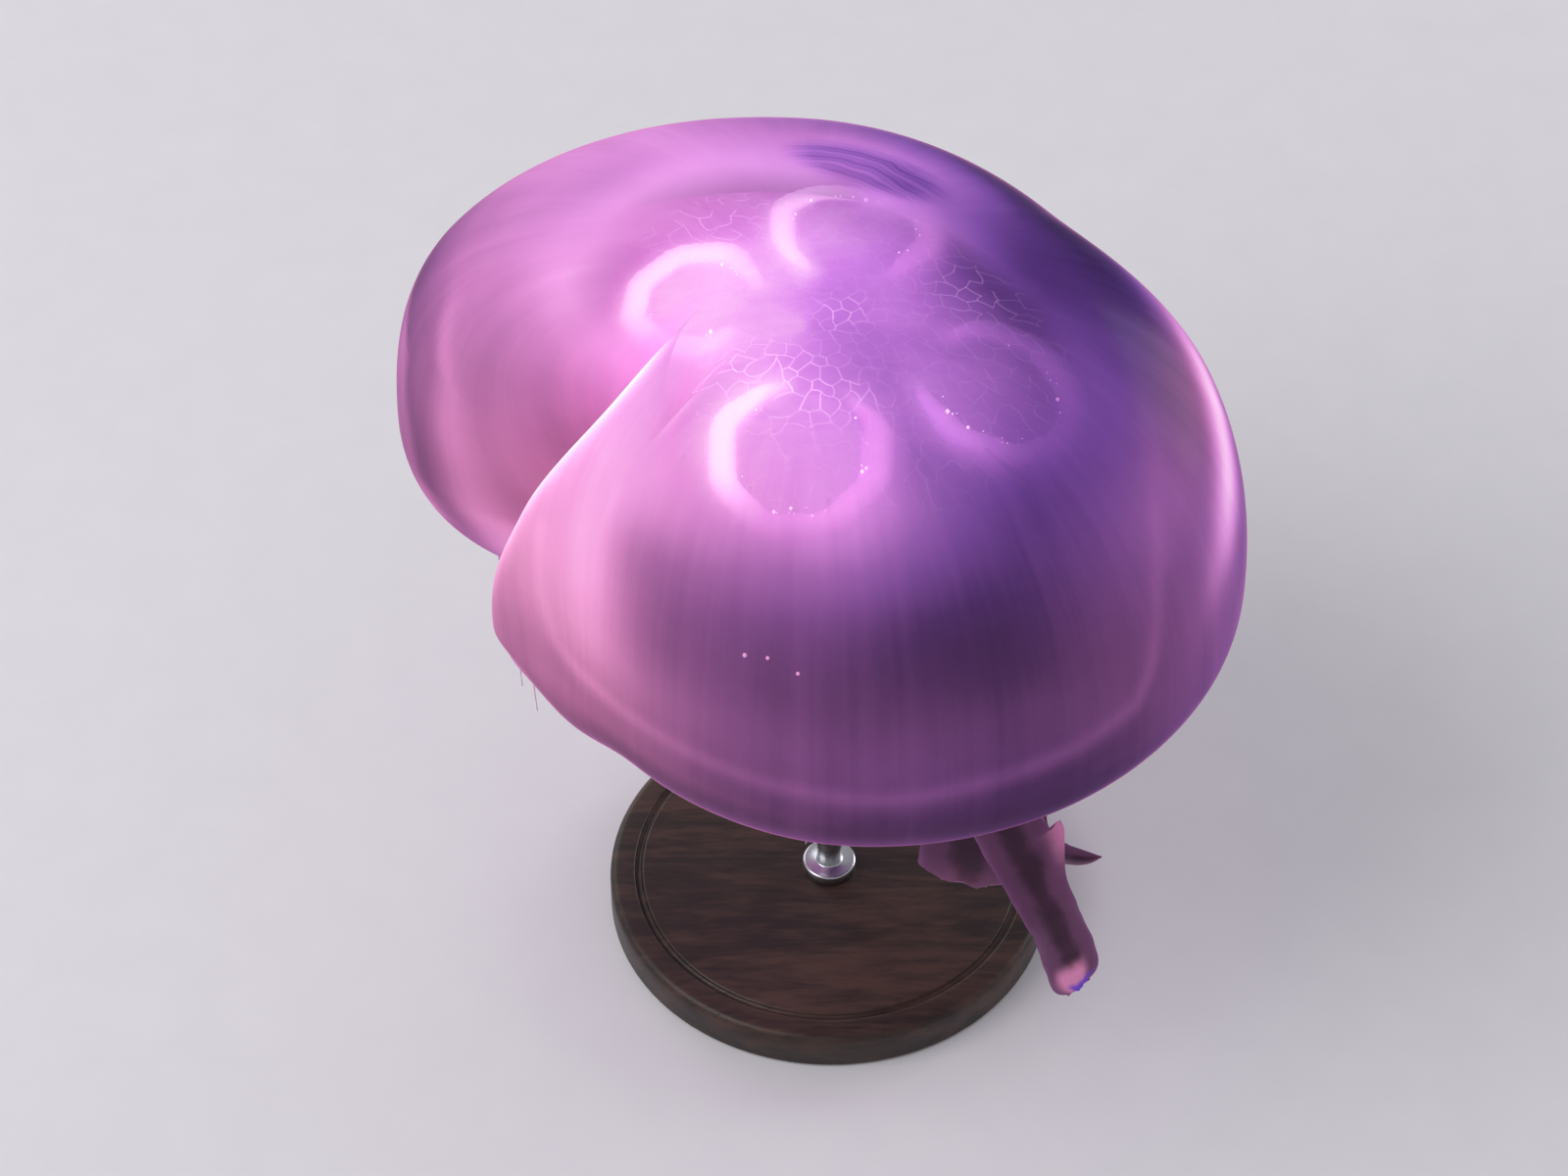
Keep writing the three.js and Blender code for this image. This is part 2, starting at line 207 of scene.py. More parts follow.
def arc(radius, height, size, start, end, steps=7):
    """Points of a quarter round of that size about (radius, height), from one angle to another."""
    angle = np.radians(np.linspace(start, end, steps))
    return np.stack([radius + size * np.cos(angle), height + size * np.sin(angle)], axis=-1)


base_low, base_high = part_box("stand_base")
rod_low, rod_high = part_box("stand_rod")
BASE_RADIUS = base_high.x
BASE_TOP = base_high.z
BASE_EDGE = 0.0022
BASE_FOOT = 0.0010              # small bevel where the base meets the floor
GROOVE_RADIUS = 0.054
GROOVE = 0.0011                 # half of the groove's width, and its depth
ROD_RADIUS = rod_high.x
COLLAR_RADIUS = 0.0075
COLLAR_HEIGHT = 0.0035

wood, paint = finish("oiled_wood", Specular_IOR_Level=0.4)
grain_place = paint.place((22.0, 150.0, 150.0))
grain = paint.noise(grain_place, 4.0, 6.0, 0.6, 0.4)
figure = paint.noise(paint.place((4.0, 26.0, 26.0)), 3.0, 3.0, 0.5, 1.6)
pores = paint.noise(paint.place((60.0, 900.0, 900.0)), 3.0, 2.0).smooth(0.62, 0.75)
oiled = (0.6 * figure + 0.4 * grain).smooth(0.38, 0.66)
(pores * 0.6).blend(oiled.blend(tint(38, 27, 24), tint(74, 52, 43)), tint(22, 16, 15)).into("Base Color")
(0.34 + 0.16 * grain + 0.2 * pores).into("Roughness")
(grain * 0.4 - pores).relief(0.25, 0.0006)

groove = arc(GROOVE_RADIUS, BASE_TOP, GROOVE, 0, -180, 9)
base_profile = np.concatenate([
    [[0, 0], [BASE_RADIUS - BASE_FOOT, 0], [BASE_RADIUS, BASE_FOOT]],
    arc(BASE_RADIUS - BASE_EDGE, BASE_TOP - BASE_EDGE, BASE_EDGE, 0, 90),
    [[GROOVE_RADIUS + 1.5 * GROOVE, BASE_TOP]],
    groove,
    [[GROOVE_RADIUS - 1.5 * GROOVE, BASE_TOP], [COLLAR_RADIUS, BASE_TOP], [0, BASE_TOP]],
])
base = make_piece("stand_base_turned", *turned(base_profile, 160), [wood])
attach(base, "root")
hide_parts("stand_base")

steel, paint = finish("brushed_steel", Metallic=1.0)
brushed = paint.noise(paint.place((40.0, 40.0, 2600.0)), 2.0, 4.0)
brushed.blend(tint(176, 178, 184), tint(214, 216, 220)).into("Base Color")
(0.2 + 0.16 * brushed).into("Roughness")
brushed.relief(0.06, 0.0001)

collar_top = BASE_TOP + COLLAR_HEIGHT
rod_profile = np.concatenate([
    [[0, BASE_TOP - 0.001], [COLLAR_RADIUS, BASE_TOP - 0.001]],
    arc(COLLAR_RADIUS - 0.0008, collar_top - 0.0008, 0.0008, 0, 90),
    [[ROD_RADIUS + 0.0004, collar_top], [ROD_RADIUS, collar_top + 0.0003]],
    np.stack([np.full(24, ROD_RADIUS), np.linspace(collar_top + 0.001, rod_high.z - 0.001, 24)], axis=-1),
    [[ROD_RADIUS - 0.001, rod_high.z], [0, rod_high.z]],
])
rod = make_piece("stand_rod_polished", *turned(rod_profile, 48), [steel])
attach(rod, "root")
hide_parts("stand_rod")

# ---- Bell -----------------------------------------------------------------------------------
# The bell is one body of clear jelly between two thin skins, thick at the crown and thin at the
# margin, caught in a squeeze that folds its left side in. It is modelled as one closed skin: a
# clear violet coat of gel outside, and the coloured lining that shows through it inside. Both
# are coloured with painted light and shade.

GIRTH = 0.105                   # mean radius at the widest ring
BELL_X, BELL_Y = -0.007, 0.0015             # the bell's axis, from the mouth's
# Each skin's dome and the curl of its margin, as shares of GIRTH, and the profile angle of its end.
OUTSIDE = {"radius": 1.0, "height": 0.882, "curl_in": 0.2, "curl_down": 0.24, "end": 202}
INSIDE = {"radius": 0.85, "height": 0.711, "curl_in": 0.167, "curl_down": 0.21, "end": 160}
GIRTH_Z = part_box("bell_crown")[1].z - OUTSIDE["height"] * GIRTH
FULLNESS = 0.08                 # how much further the shoulders stand out than a plain dome's
REACH = np.array([              # azimuth, and how far the squeezed bell reaches there, of GIRTH
    [5, 1.049], [35, 0.867], [92, 0.941], [148, 1.166], [180, 0.912],
    [211, 0.774], [242, 0.849], [278, 0.984], [329, 1.101],
])
REACH_ROUND = np.concatenate([REACH + [360 * turn, 0] for turn in (-1, 0, 1)])
# Profile angle and azimuth of points of the fold's line, the azimuth about which the skin's grid
# bends with it and how far round, and how deep the fold is and how far its lip swells, of GIRTH.
FOLD_LINE = np.array([[10, 202], [37, 208], [62, 199], [90, 190], [202, 188]], dtype=float)
FOLD_AZIMUTH, FOLD_SWAY = 199, 32
FOLD_DEPTH, FOLD_LIP = 0.42, 0.08
STOMACH_DROP = 0.057            # the stomach's floor lies this much lower under the crown, of GIRTH
LAPPETS = 8                     # shallow scallops of the margin, with a sense organ between two
NOTCH_AZIMUTH = 22.5
NOTCH_WIDTH, NOTCH_DEPTH = 4.0, 20.0        # in degrees of azimuth and of profile angle


def smooth_step(value, start, end):
    """0 below start, 1 above end, and 3t^2 - 2t^3 of the share t between them."""
    share = np.clip((value - start) / (end - start), 0, 1)
    return share * share * (3 - 2 * share)


def bump(value, middle, width):
    """A bell curve: e to the power of minus the square of the distance over the width."""
    return np.exp(-(((value - middle) / width) ** 2))


def turn_between(azimuth):
    """The same turn in degrees, from -180 to 180."""
    return (azimuth + 180) % 360 - 180


def through(knots, value):
    """A cubic through [x, y] knots, whose slope at each is that between its two neighbours."""
    x, y = knots[:, 0], knots[:, 1]
    order = np.arange(len(x))
    after, before = np.minimum(order + 1, len(x) - 1), np.maximum(order - 1, 0)
    slope = (y[after] - y[before]) / (x[after] - x[before])
    k = np.clip(np.searchsorted(x, value), 1, len(x) - 1)
    span = x[k] - x[k - 1]
    s = np.clip((value - x[k - 1]) / span, 0, 1)
    return ((2 * s**3 - 3 * s**2 + 1) * y[k - 1] + (s**3 - 2 * s**2 + s) * span * slope[k - 1]
            + (3 * s**2 - 2 * s**3) * y[k] + (s**3 - s**2) * span * slope[k])


def fold_side(angle, azimuth):
    """Degrees of azimuth from the line of the fold, more than 0 on its front side."""
    return turn_between(azimuth - through(FOLD_LINE, angle))


def fold(angle, azimuth):
    """Depth of the fold: a bell curve across its line, less the swelling of its front lip."""
    side = fold_side(angle, azimuth)
    width = np.where(side > 0, 9, 15 - 4 * smooth_step(angle, 55, 90))
    valley = FOLD_DEPTH * np.exp(-((np.abs(side) / width) ** 2.2))
    return smooth_step(angle, 10, 50) * (valley - FOLD_LIP * bump(side, 17, 14))


def lower_lobe(angle, azimuth):
    """How much the near lobe stands out under the girth, and in beside it, at the fold's foot."""
    low = smooth_step(angle, 80, 112)
    along = low * (0.024 * bump(azimuth, 224, 9) - 0.010 * bump(azimuth, 236, 8))
    along = along + 0.008 * bump(azimuth, 208, 7) * bump(angle, 72, 10)
    return along - 0.033 * bump(azimuth, 206, 9.5) * smooth_step(angle, 78, 115)


def bell_wall(wall, angle, azimuth, lift=0.0):
    """A point of one of the bell's skins. Its profile is a full dome, radius sin a across and height
    cos a up, down to the girth at a = 90, and a quarter turn inward below it. The reach in each
    direction spreads it, and the fold, less the lift, pushes it back towards the middle."""
    up = np.radians(np.minimum(angle, 90))
    past = np.radians(np.maximum(angle - 90, 0))
    full = 1 + FULLNESS * np.sin(2 * up) ** 2
    spread = 1 + (through(REACH_ROUND, azimuth % 360) - 1) * np.sin(up) ** 1.2
    share = 1.0 if wall is OUTSIDE else 0.85 + 0.15 * smooth_step(angle, 90, INSIDE["end"])
    push = share * fold(angle, azimuth) - lift / GIRTH - lower_lobe(angle, azimuth)
    far_share = smooth_step(np.sin(np.radians(azimuth)), 0.2, 0.9) * smooth_step(angle, 8, 24)
    drop = STOMACH_DROP * (1 - smooth_step(angle, 38, 64)) * (1 - 0.6 * far_share)
    drop = 0.0 if wall is OUTSIDE else drop
    across = (wall["radius"] * np.sin(up) * full - wall["curl_in"] * (1 - np.cos(past))) * spread
    across = GIRTH * (across - push * np.sin(up))
    height = GIRTH * (wall["height"] * np.cos(up) * full - wall["curl_down"] * np.sin(past)
                      - push * np.cos(up) - drop)
    turn = np.radians(azimuth)
    return np.stack([
        BELL_X + across * np.cos(turn), BELL_Y + across * np.sin(turn), GIRTH_Z + height
    ], axis=-1)


def along_fold(azimuth, angle):
    """An azimuth shifted near the fold as its line shifts with the profile angle."""
    near = bump(turn_between(azimuth - FOLD_AZIMUTH), 0, FOLD_SWAY)
    return azimuth + (through(FOLD_LINE, angle) - FOLD_AZIMUTH) * near


def notch(azimuth):
    """1 in the middle of a notch of the margin and 0 along a lappet."""
    from_notch = (azimuth - NOTCH_AZIMUTH + 22.5) % 45 - 22.5
    return bump(from_notch, 0, NOTCH_WIDTH)


SKIN_COLUMNS = 400
MARGIN_ROWS = 5
MARGIN_BULGE = 0.0008           # how far the margin's edge bulges down between the two skins
turns = np.linspace(0, 360, 3601)
crowding = 1 + 1.6 * bump(turns, FOLD_AZIMUTH + 6, 26)
columns_at = np.interp(
    np.linspace(0, 1, SKIN_COLUMNS, endpoint=False), np.cumsum(crowding) / crowding.sum(), turns
)
outer_rows = np.concatenate([np.linspace(1.2, 88, 70), np.linspace(89.5, OUTSIDE["end"], 36)])
inner_rows = np.concatenate([
    np.linspace(INSIDE["end"], 92, 18), np.linspace(90, 58, 22), np.linspace(57.4, 1.2, 88)
])


def skin_rows(wall, rows):
    """The points, profile angles and azimuths of one skin; its last rows give way to the notches."""
    angle, azimuth = np.meshgrid(rows, columns_at, indexing="ij")
    azimuth = along_fold(azimuth, angle)
    angle = angle - NOTCH_DEPTH * notch(azimuth) * smooth_step(angle, wall["end"] - 45, wall["end"])
    return bell_wall(wall, angle, azimuth), angle, azimuth


outer, outer_angle, outer_azimuth = skin_rows(OUTSIDE, outer_rows)
inner, inner_angle, inner_azimuth = skin_rows(INSIDE, inner_rows)
across_margin = np.linspace(0, 1, MARGIN_ROWS + 2)[1:-1, None, None]
margin = outer[-1] * (1 - across_margin) + inner[0] * across_margin
margin = margin - np.array([0, 0, MARGIN_BULGE]) * np.sin(math.pi * across_margin)
skin_grid = np.concatenate([outer, margin, inner])
skin_angle, skin_azimuth = [
    np.concatenate([field[0], np.repeat(field[0][-1:], MARGIN_ROWS, axis=0), field[1]])
    for field in ((outer_angle, inner_angle), (outer_azimuth, inner_azimuth))
]
poles = [bell_wall(wall, np.zeros(1), np.zeros(1)) for wall in (OUTSIDE, INSIDE)]
skin_points = np.concatenate([skin_grid.reshape(-1, 3), *poles])
row_count = len(skin_grid)
skin_faces = closed_faces(row_count, SKIN_COLUMNS, turned_over=True)

# The four horseshoe gonads lie on the stomach's floor: azimuth and distance of each ring's middle
# from the mouth's axis, its radius and stretch outwards, the azimuth it is lit from, its lightness
# on the lit side, on the far side and inside (disc), how much that changes towards the light
# (tilt), and how wide the inner edge is (soft).
Gonad = namedtuple("Gonad", "azimuth distance radius stretch lit_from lit dim disc tilt soft")
GONADS = [
    Gonad(161, 0.0370, 0.0158, 0.98, 140, 1.20, 1.04, 1.08, 0.03, 0.006),
    Gonad(82, 0.0405, 0.0190, 1.22, 176, 1.16, 0.84, 0.92, 0.15, 0.011),
    Gonad(339, 0.0425, 0.0190, 1.00, 195, 0.84, 0.56, 0.55, 0.26, 0.011),
    Gonad(257, 0.0397, 0.0192, 1.00, 142, 1.18, 0.84, 0.86, 0.06, 0.004),
]
GONAD_SPAN = 312                # degrees of ring; the open side faces the mouth


def gonad_light(gonad, direction):
    """Lightness of a ring at a direction from its middle: from lit to dim, as a soft cosine."""
    facing = 0.5 + 0.5 * np.cos(np.radians(direction - gonad.lit_from))
    return gonad.dim + (gonad.lit - gonad.dim) * smooth_step(facing, 0.3, 0.95)


def gonad_point(gonad, share, reach):
    """East, north and direction of a place on a gonad: a share of its span, reach from its middle."""
    azimuth = math.radians(gonad.azimuth)
    turn = np.radians(GONAD_SPAN * (share - 0.5))
    outward = gonad.distance + gonad.stretch * reach * np.cos(turn)
    across = reach * np.sin(turn)
    x = outward * math.cos(azimuth) - across * math.sin(azimuth)
    y = outward * math.sin(azimuth) + across * math.cos(azimuth)
    return x, y, gonad.azimuth + np.degrees(turn)


def gonad_paint(points, light):
    """Painted lightness of the floor with the milky tissue on it: inside each ring it goes to the
    disc's, paler towards the light by the tilt, and over the ring's line, in a bell curve wider
    outwards, to that of the ring, which is paler on its lit side."""
    for gonad in GONADS:
        turn, radius, soft = math.radians(gonad.azimuth), gonad.radius, gonad.soft
        outward = points[..., 0] * math.cos(turn) + points[..., 1] * math.sin(turn)
        outward = (outward - gonad.distance) / gonad.stretch
        across = points[..., 1] * math.cos(turn) - points[..., 0] * math.sin(turn)
        out = np.hypot(outward, across) - radius
        round_ring = np.degrees(np.arctan2(across, outward))
        direction = gonad.azimuth + round_ring
        leaning = (out + radius) / radius * np.cos(np.radians(direction - gonad.lit_from))
        within = 1 - smooth_step(out, -soft - 0.001, 0.2 * soft - 0.001)
        light = light + (gonad.disc + gonad.tilt * leaning - light) * 0.9 * within
        closed = 1 - 0.8 * smooth_step(np.abs(round_ring), 145, 172)
        ring = bump(out, 0, np.where(out < 0, 0.0018 + 0.25 * soft, 0.0058)) * closed
        light = light + (gonad_light(gonad, direction) - light) * 0.88 * ring
    return light


def arc_of(azimuth, start, end, soft):
    """1 for azimuths between start and end, falling to 0 over soft degrees on both sides."""
    middle, half = (start + end) / 2, (end - start) / 2
    return 1 - smooth_step(np.abs(turn_between(azimuth - middle)), half - soft / 2, half + soft / 2)


# How light the jelly is painted, from 0, deep violet, to 1, milky pink: painted light from the left
# and over the crown, with soft patches of painted light and shade. Each has a profile angle, an
# azimuth, how wide it is in both, and how much lightness it adds.
LIGHT_PATCHES = [
    (41, 34, 10, 49, -0.42),    # the far side, turned from the light,
    (31, 44, 8, 30, 0.11),      # and its paler crest
    (28, 359, 8, 22, -0.19),    # behind the right gonad,
    (27, 22, 7, 20, -0.10),     # and between it and the far one
    (22, 72, 8, 22, 0.12),      # the far gonad's right end, through the gel,
    (22, 336, 7, 12, 0.12),     # and the right gonad's left end
    (14, 16, 7, 26, 0.15),      # between the middle and the far right
    (30, 324, 8, 13, 0.16),     # between the front and the right gonads,
    (30, 300, 6, 9, -0.07),     # and just right of the front one
    (27, 244, 11, 20, 0.10),    # round the front gonad's lit side
    (62, 251, 16, 20, -0.38),   # the hollow under the front gonad, seen through the gel: its left,
    (54, 240, 6, 8, -0.10),     # the corner above that,
    (66, 245, 12, 7, -0.11),    # its left edge,
    (58, 292, 15, 23, -0.28),   # its right,
    (44, 312, 8, 15, -0.10),    # its upper end,
    (38, 278, 12, 19, 0.29),    # the paler tongue that hangs into it,
    (56, 330, 7, 9, 0.09),      # and the skin right of it
    (71, 268, 8, 15, -0.05),    # in front, inside the lining's edge,
    (84, 250, 8, 30, -0.12),    # and outside it
    (105, 303, 33, 25, -0.23),  # the thin margin in front, right,
    (105, 244, 32, 40, -0.41),  # and left
    (70, 239, 39, 23, 0.39),    # the rosy lobe beside the fold,
    (57, 231, 12, 4, 0.07),     # and a pale streak up it
    (24, 200, 13, 28, 0.17),    # the fold's upper end
    (64, 197, 14, 9, -0.06),    # the left lobe beside the fold,
    (56, 180, 18, 12, -0.12),   # its foot near the fold,
    (86, 180, 10, 10, -0.08),   # its lower end,
    (46, 157, 12, 13, -0.06),   # its shoulder,
    (68, 151, 17, 11, -0.26),   # its left end, past the lining's edge,
    (97, 163, 27, 11, -0.42),   # and under that
    (33, 126, 16, 24, 0.08),    # the far left shoulder
    (14, 118, 7, 30, 0.12),     # between the far and the left gonads
    (22, 152, 7, 20, 0.11),     # beyond the left gonad,
    (31, 143, 7, 13, -0.10),    # the dip behind it,
    (30, 180, 7, 9, 0.08),      # and the milky skin on its left
]
# Painted light and shade on the lining alone.
LINING_PATCHES = [              # the same on the lining alone: east, north, width and lightness
    (-0.007, 0.020, 0.013, -0.10),      # behind the middle,
    (0.002, -0.009, 0.014, -0.05),      # and in front of it
    (-0.019, 0.060, 0.016, 0.26),       # the far wall, seen over the far gonad's left end,
    (-0.048, 0.045, 0.015, 0.18),       # and over the left gonad
    (0.030, 0.008, 0.013, 0.10),        # left of the right gonad
]
# The jelly's own tint mixed with painted light: violet in the painted shade of the far side and the
# hollow, rose on the lit near lobe and in the right edge's painted highlight.
WARM_PATCHES = [                # and how much rosier or more violet the jelly is
    (37, 14, 13, 63, -0.27),    # violet of the far side,
    (48, 290, 8, 22, -0.05),    # and of the hollow's top
    (67, 290, 12, 28, 0.07),    # brown of the hollow's foot
    (88, 214, 45, 45, 0.17),    # flesh of the near lobe
    (30, 80, 8, 30, 0.06),      # rose behind the far gonad,
    (78, 320, 20, 20, 0.10),    # of the margin on the right,
    (105, 285, 24, 40, 0.09),   # and of the margin in front
    (50, 352, 11, 20, 0.23),    # pink of the right edge
]


def patches(table, angle, azimuth):
    """The sum of a table's patches, each a bell curve in profile angle times one in azimuth. They
    fade out at the top, where the azimuths meet."""
    total = np.zeros(angle.shape)
    for at, round_at, high, wide, gain in table:
        total = total + gain * bump(angle, at, high) * bump(turn_between(azimuth - round_at), 0, wide)
    return smooth_step(angle, 3, 17) * total


is_lining = np.zeros(skin_azimuth.shape)
is_lining[len(outer) + MARGIN_ROWS:] = 1
is_coat = 1 - is_lining
light = 0.59 + 0.133 * np.cos(np.radians(skin_azimuth - 175)) + 0.258 * bump(skin_angle, 0, 22)
light = light + patches(LIGHT_PATCHES, skin_angle, skin_azimuth)
for east, north, width, gain in LINING_PATCHES:
    from_patch = np.hypot(skin_grid[..., 0] - east, skin_grid[..., 1] - north)
    light = light + gain * bump(from_patch, 0, width) * is_lining

# The lining's edge, where it shows through the gel from the front, is painted on the gel as a pale
# line of light, with a darker band of painted shade outside it.
LINING_EDGE = np.array([        # azimuth and profile angle of points of that line
    [220.5, 60], [221, 72], [222.5, 80.5], [228, 83.5], [241.5, 84.5], [254.5, 85], [267.5, 85.5],
    [281.5, 86], [295.5, 84], [306.5, 82.5], [315.5, 80], [318.5, 74.5], [322, 64], [326, 57], [332, 50],
])
EDGE_LINE = 0.0028              # how wide the line is, and the band
EDGE_BAND = 0.02


def edge_distance(points):
    """Distance of each point from the lining's edge line, through 10 points of each of its spans."""
    along = np.linspace(0, len(LINING_EDGE) - 1, 10 * len(LINING_EDGE))
    azimuth, angle = [np.interp(along, np.arange(len(LINING_EDGE)), knots) for knots in LINING_EDGE.T]
    distance = np.full(points.shape[:-1], 1.0)
    for knot in bell_wall(OUTSIDE, angle, azimuth):
        distance = np.minimum(distance, np.linalg.norm(points - knot, axis=-1))
    return distance


from_edge = edge_distance(skin_grid)
edge_line = bump(from_edge, 0, EDGE_LINE) * (0.35 + 0.65 * arc_of(skin_azimuth, 222, 324, 16))
edge_angle = np.interp(skin_azimuth % 360, *LINING_EDGE.T)
shade_outside_edge = smooth_step(skin_angle - edge_angle, 0, 6) * arc_of(skin_azimuth, 224, 318, 14)
light = light + (0.08 * edge_line - 0.07 * shade_outside_edge * bump(from_edge, 0, EDGE_BAND)) * is_coat
DARKEST, PALEST_COAT, PALEST_LINING = 0.13, 0.84, 1.2
light = np.clip(light, DARKEST, np.where(is_lining == 1, PALEST_LINING, PALEST_COAT))

# The fold's front lip and the right edge of the bell carry painted highlights, where they gather light.
lip = bump(fold_side(skin_angle, skin_azimuth), 12.5, 3.4) * smooth_step(skin_angle, 20, 34)
lip = lip * (1 - smooth_step(skin_angle, 112, 140))
right_rim_highlight = bump(skin_angle + 0.5 * turn_between(skin_azimuth - 345), 65, 6)
light = light + 0.4 * lip + 0.52 * right_rim_highlight * arc_of(skin_azimuth, 335, 369, 22)

# The lining's edge is painted at the left end too: a pale line, a darker band of painted shade past
# it, and then a painted highlight, a gleam of the outer skin. The tables give the azimuths of the
# line and of the gleam's end.
LEFT_EDGE = np.array([[45, 163], [55, 169], [64, 175], [80, 176], [97, 176.5], [116, 177]])
LEFT_END = np.array([[45, 128], [65, 152], [70, 162], [82, 166], [100, 170], [114, 170]])
from_line = np.interp(skin_angle, *LEFT_EDGE.T) - skin_azimuth
shade_past_left = smooth_step(from_line, 0, 4) * arc_of(skin_azimuth, 140, 184, 12)
shade_past_left = shade_past_left * smooth_step(skin_angle, 48, 62) * is_coat
left_line = bump(from_line, -1.5, 2.2) * smooth_step(skin_angle, 48, 60) * is_coat
left_line = left_line * (0.07 + 0.08 * smooth_step(skin_angle, 78, 96))
painted_gleam = 1 - smooth_step(skin_azimuth - np.interp(skin_angle, *LEFT_END.T), 0, 5)
painted_gleam = painted_gleam * arc_of(skin_azimuth, 118, 178, 16)
painted_gleam = painted_gleam * smooth_step(skin_angle, 48, 62) * (1 - smooth_step(skin_angle, 116, 130))
light = light - 0.12 * shade_past_left + left_line + 0.26 * painted_gleam
light = np.where(is_lining == 1, gonad_paint(skin_grid, light), light)

# How rosy the jelly is, from violet at 0.8 of this sum to rose at 1.16, as a share: its own tint,
# rosier on the left, where the painted light falls, and more violet at the crown.
warmth = 0.977 + 0.07 * np.cos(np.radians(skin_azimuth - 178))
warmth = warmth + patches(WARM_PATCHES, skin_angle, skin_azimuth) - 0.16 * bump(skin_angle, 4, 30)
warmth = (warmth - 0.8) / 0.36

# How much the coat of gel hides: it is clear over the stomach and dense from the shoulders down,
# where one looks along the jelly instead of through it.
far_right = arc_of(skin_azimuth, -14, 62, 30)
clear_to = 30 - 14 * np.sin(np.radians(skin_azimuth)) - 14 * arc_of(skin_azimuth, 196, 236, 16)
clear_to = clear_to - 7.5 * far_right
dense = smooth_step(skin_angle, clear_to - 7 + 3 * far_right, clear_to + 8 - 4 * far_right)
cover = 0.3 + 0.675 * dense + 0.2 * lip
crown = 1 - smooth_step(skin_angle, 14, 44)

# The gel is painted darker and more violet in a lens-shaped patch behind the far gonad, with
# darker rings in it.
PATCH_EAST, PATCH_NORTH = 0.008, 0.037
PATCH_ALONG = (0.883, -0.47)    # its long direction, east and north
PATCH_LONG, PATCH_WIDE = 0.024, 0.0105      # half its length and width
LENS_RING_MIDDLE = (-0.012, -0.002, 0.240)    # the dark rings are circles about this point
LENS_RING_SPACING = 0.0052
east, north = skin_grid[..., 0] - PATCH_EAST, skin_grid[..., 1] - PATCH_NORTH
patch_along = east * PATCH_ALONG[0] + north * PATCH_ALONG[1]
patch_across = north * PATCH_ALONG[0] - east * PATCH_ALONG[1]
wrinkled = 1 - smooth_step(np.hypot(patch_along / PATCH_LONG, patch_across / PATCH_WIDE), 0.5, 1.1)
wrinkled = wrinkled * is_coat * (skin_angle < 60)
warmth = warmth - 0.35 * wrinkled


def with_poles(field):
    """A field of the skin's grid, flattened, with its values at the two poles added."""
    return np.concatenate([field.ravel(), [field[0].mean(), field[-1].mean()]])


# Colours of the jelly's scales, from its deepest painted shade at 0 to its palest painted light.
COOL_JELLY = [
    (0.0, tint(32, 18, 58)), (0.09, tint(48, 29, 80)), (0.22, tint(82, 49, 120)),
    (0.36, tint(123, 76, 164)), (0.49, tint(156, 98, 188)), (0.63, tint(197, 126, 217)),
    (0.76, tint(222, 151, 236)), (0.9, tint(246, 200, 246)), (1.0, tint(255, 228, 250)),
]
WARM_JELLY = [
    (0.0, tint(34, 18, 30)), (0.22, tint(87, 53, 81)), (0.36, tint(133, 79, 115)),
    (0.49, tint(166, 100, 141)), (0.63, tint(201, 126, 171)), (0.76, tint(228, 151, 198)),
    (0.9, tint(251, 201, 237)), (1.0, tint(255, 232, 246)),
]
LIGHTEST = 1.11                 # the lightness at the end of both scales


def jelly_colour(paint, light):
    """Jelly of a lightness: a scale from violet to lilac blended with one from brown to rose."""
    scales = [paint.node("ShaderNodeValToRGB", {"stops": stops}, {"Fac": light * (1 / LIGHTEST)})
              for stops in (COOL_JELLY, WARM_JELLY)]
    return paint.node("ShaderNodeMix", {"data_type": "RGBA"},
                      {0: paint.attribute("warmth"), 6: scales[0], 7: scales[1]}, 2)


def radial_fibres(paint):
    """Fine muscle fibres that run from crown to margin: noise on the direction from the axis."""
    here = paint.node("ShaderNodeTexCoord", output=3)
    from_axis = paint.node("ShaderNodeVectorMath", {"operation": "SUBTRACT"},
                           {0: here, 1: (BELL_X, BELL_Y, 0.0)})
    level = paint.node("ShaderNodeVectorMath", {"operation": "MULTIPLY"},
                       {0: from_axis, 1: (1.0, 1.0, 0.02)})
    radial = paint.node("ShaderNodeVectorMath", {"operation": "NORMALIZE"}, {0: level})
    broad, fine = paint.noise(radial, 11.0, 2.0, 0.5), paint.noise(radial, 48.0, 2.0, 0.6)
    return (0.7 * broad + 0.3 * fine - 0.5) * (1 - paint.attribute("crown"))


def lens_rings(paint):
    """Darker rings in the lens-shaped patch behind the far gonad: rings about one point, bent by
    noise, where the wrinkled attribute is more than 0."""
    bent = paint.noise(paint.place(), 42.0, 2.0) * 0.008
    out = paint.node("ShaderNodeVectorMath", {"operation": "DISTANCE"},
                     {0: paint.node("ShaderNodeTexCoord", output=3), 1: LENS_RING_MIDDLE}, 1)
    rings = paint.math("SINE", (out + bent) * (2 * math.pi / LENS_RING_SPACING))
    fine = paint.math("SINE", (out + 1.6 * bent) * (2 * math.pi * 2.7 / LENS_RING_SPACING))
    return paint.attribute("wrinkled") * (1.2 + 0.22 * rings + 0.16 * fine)


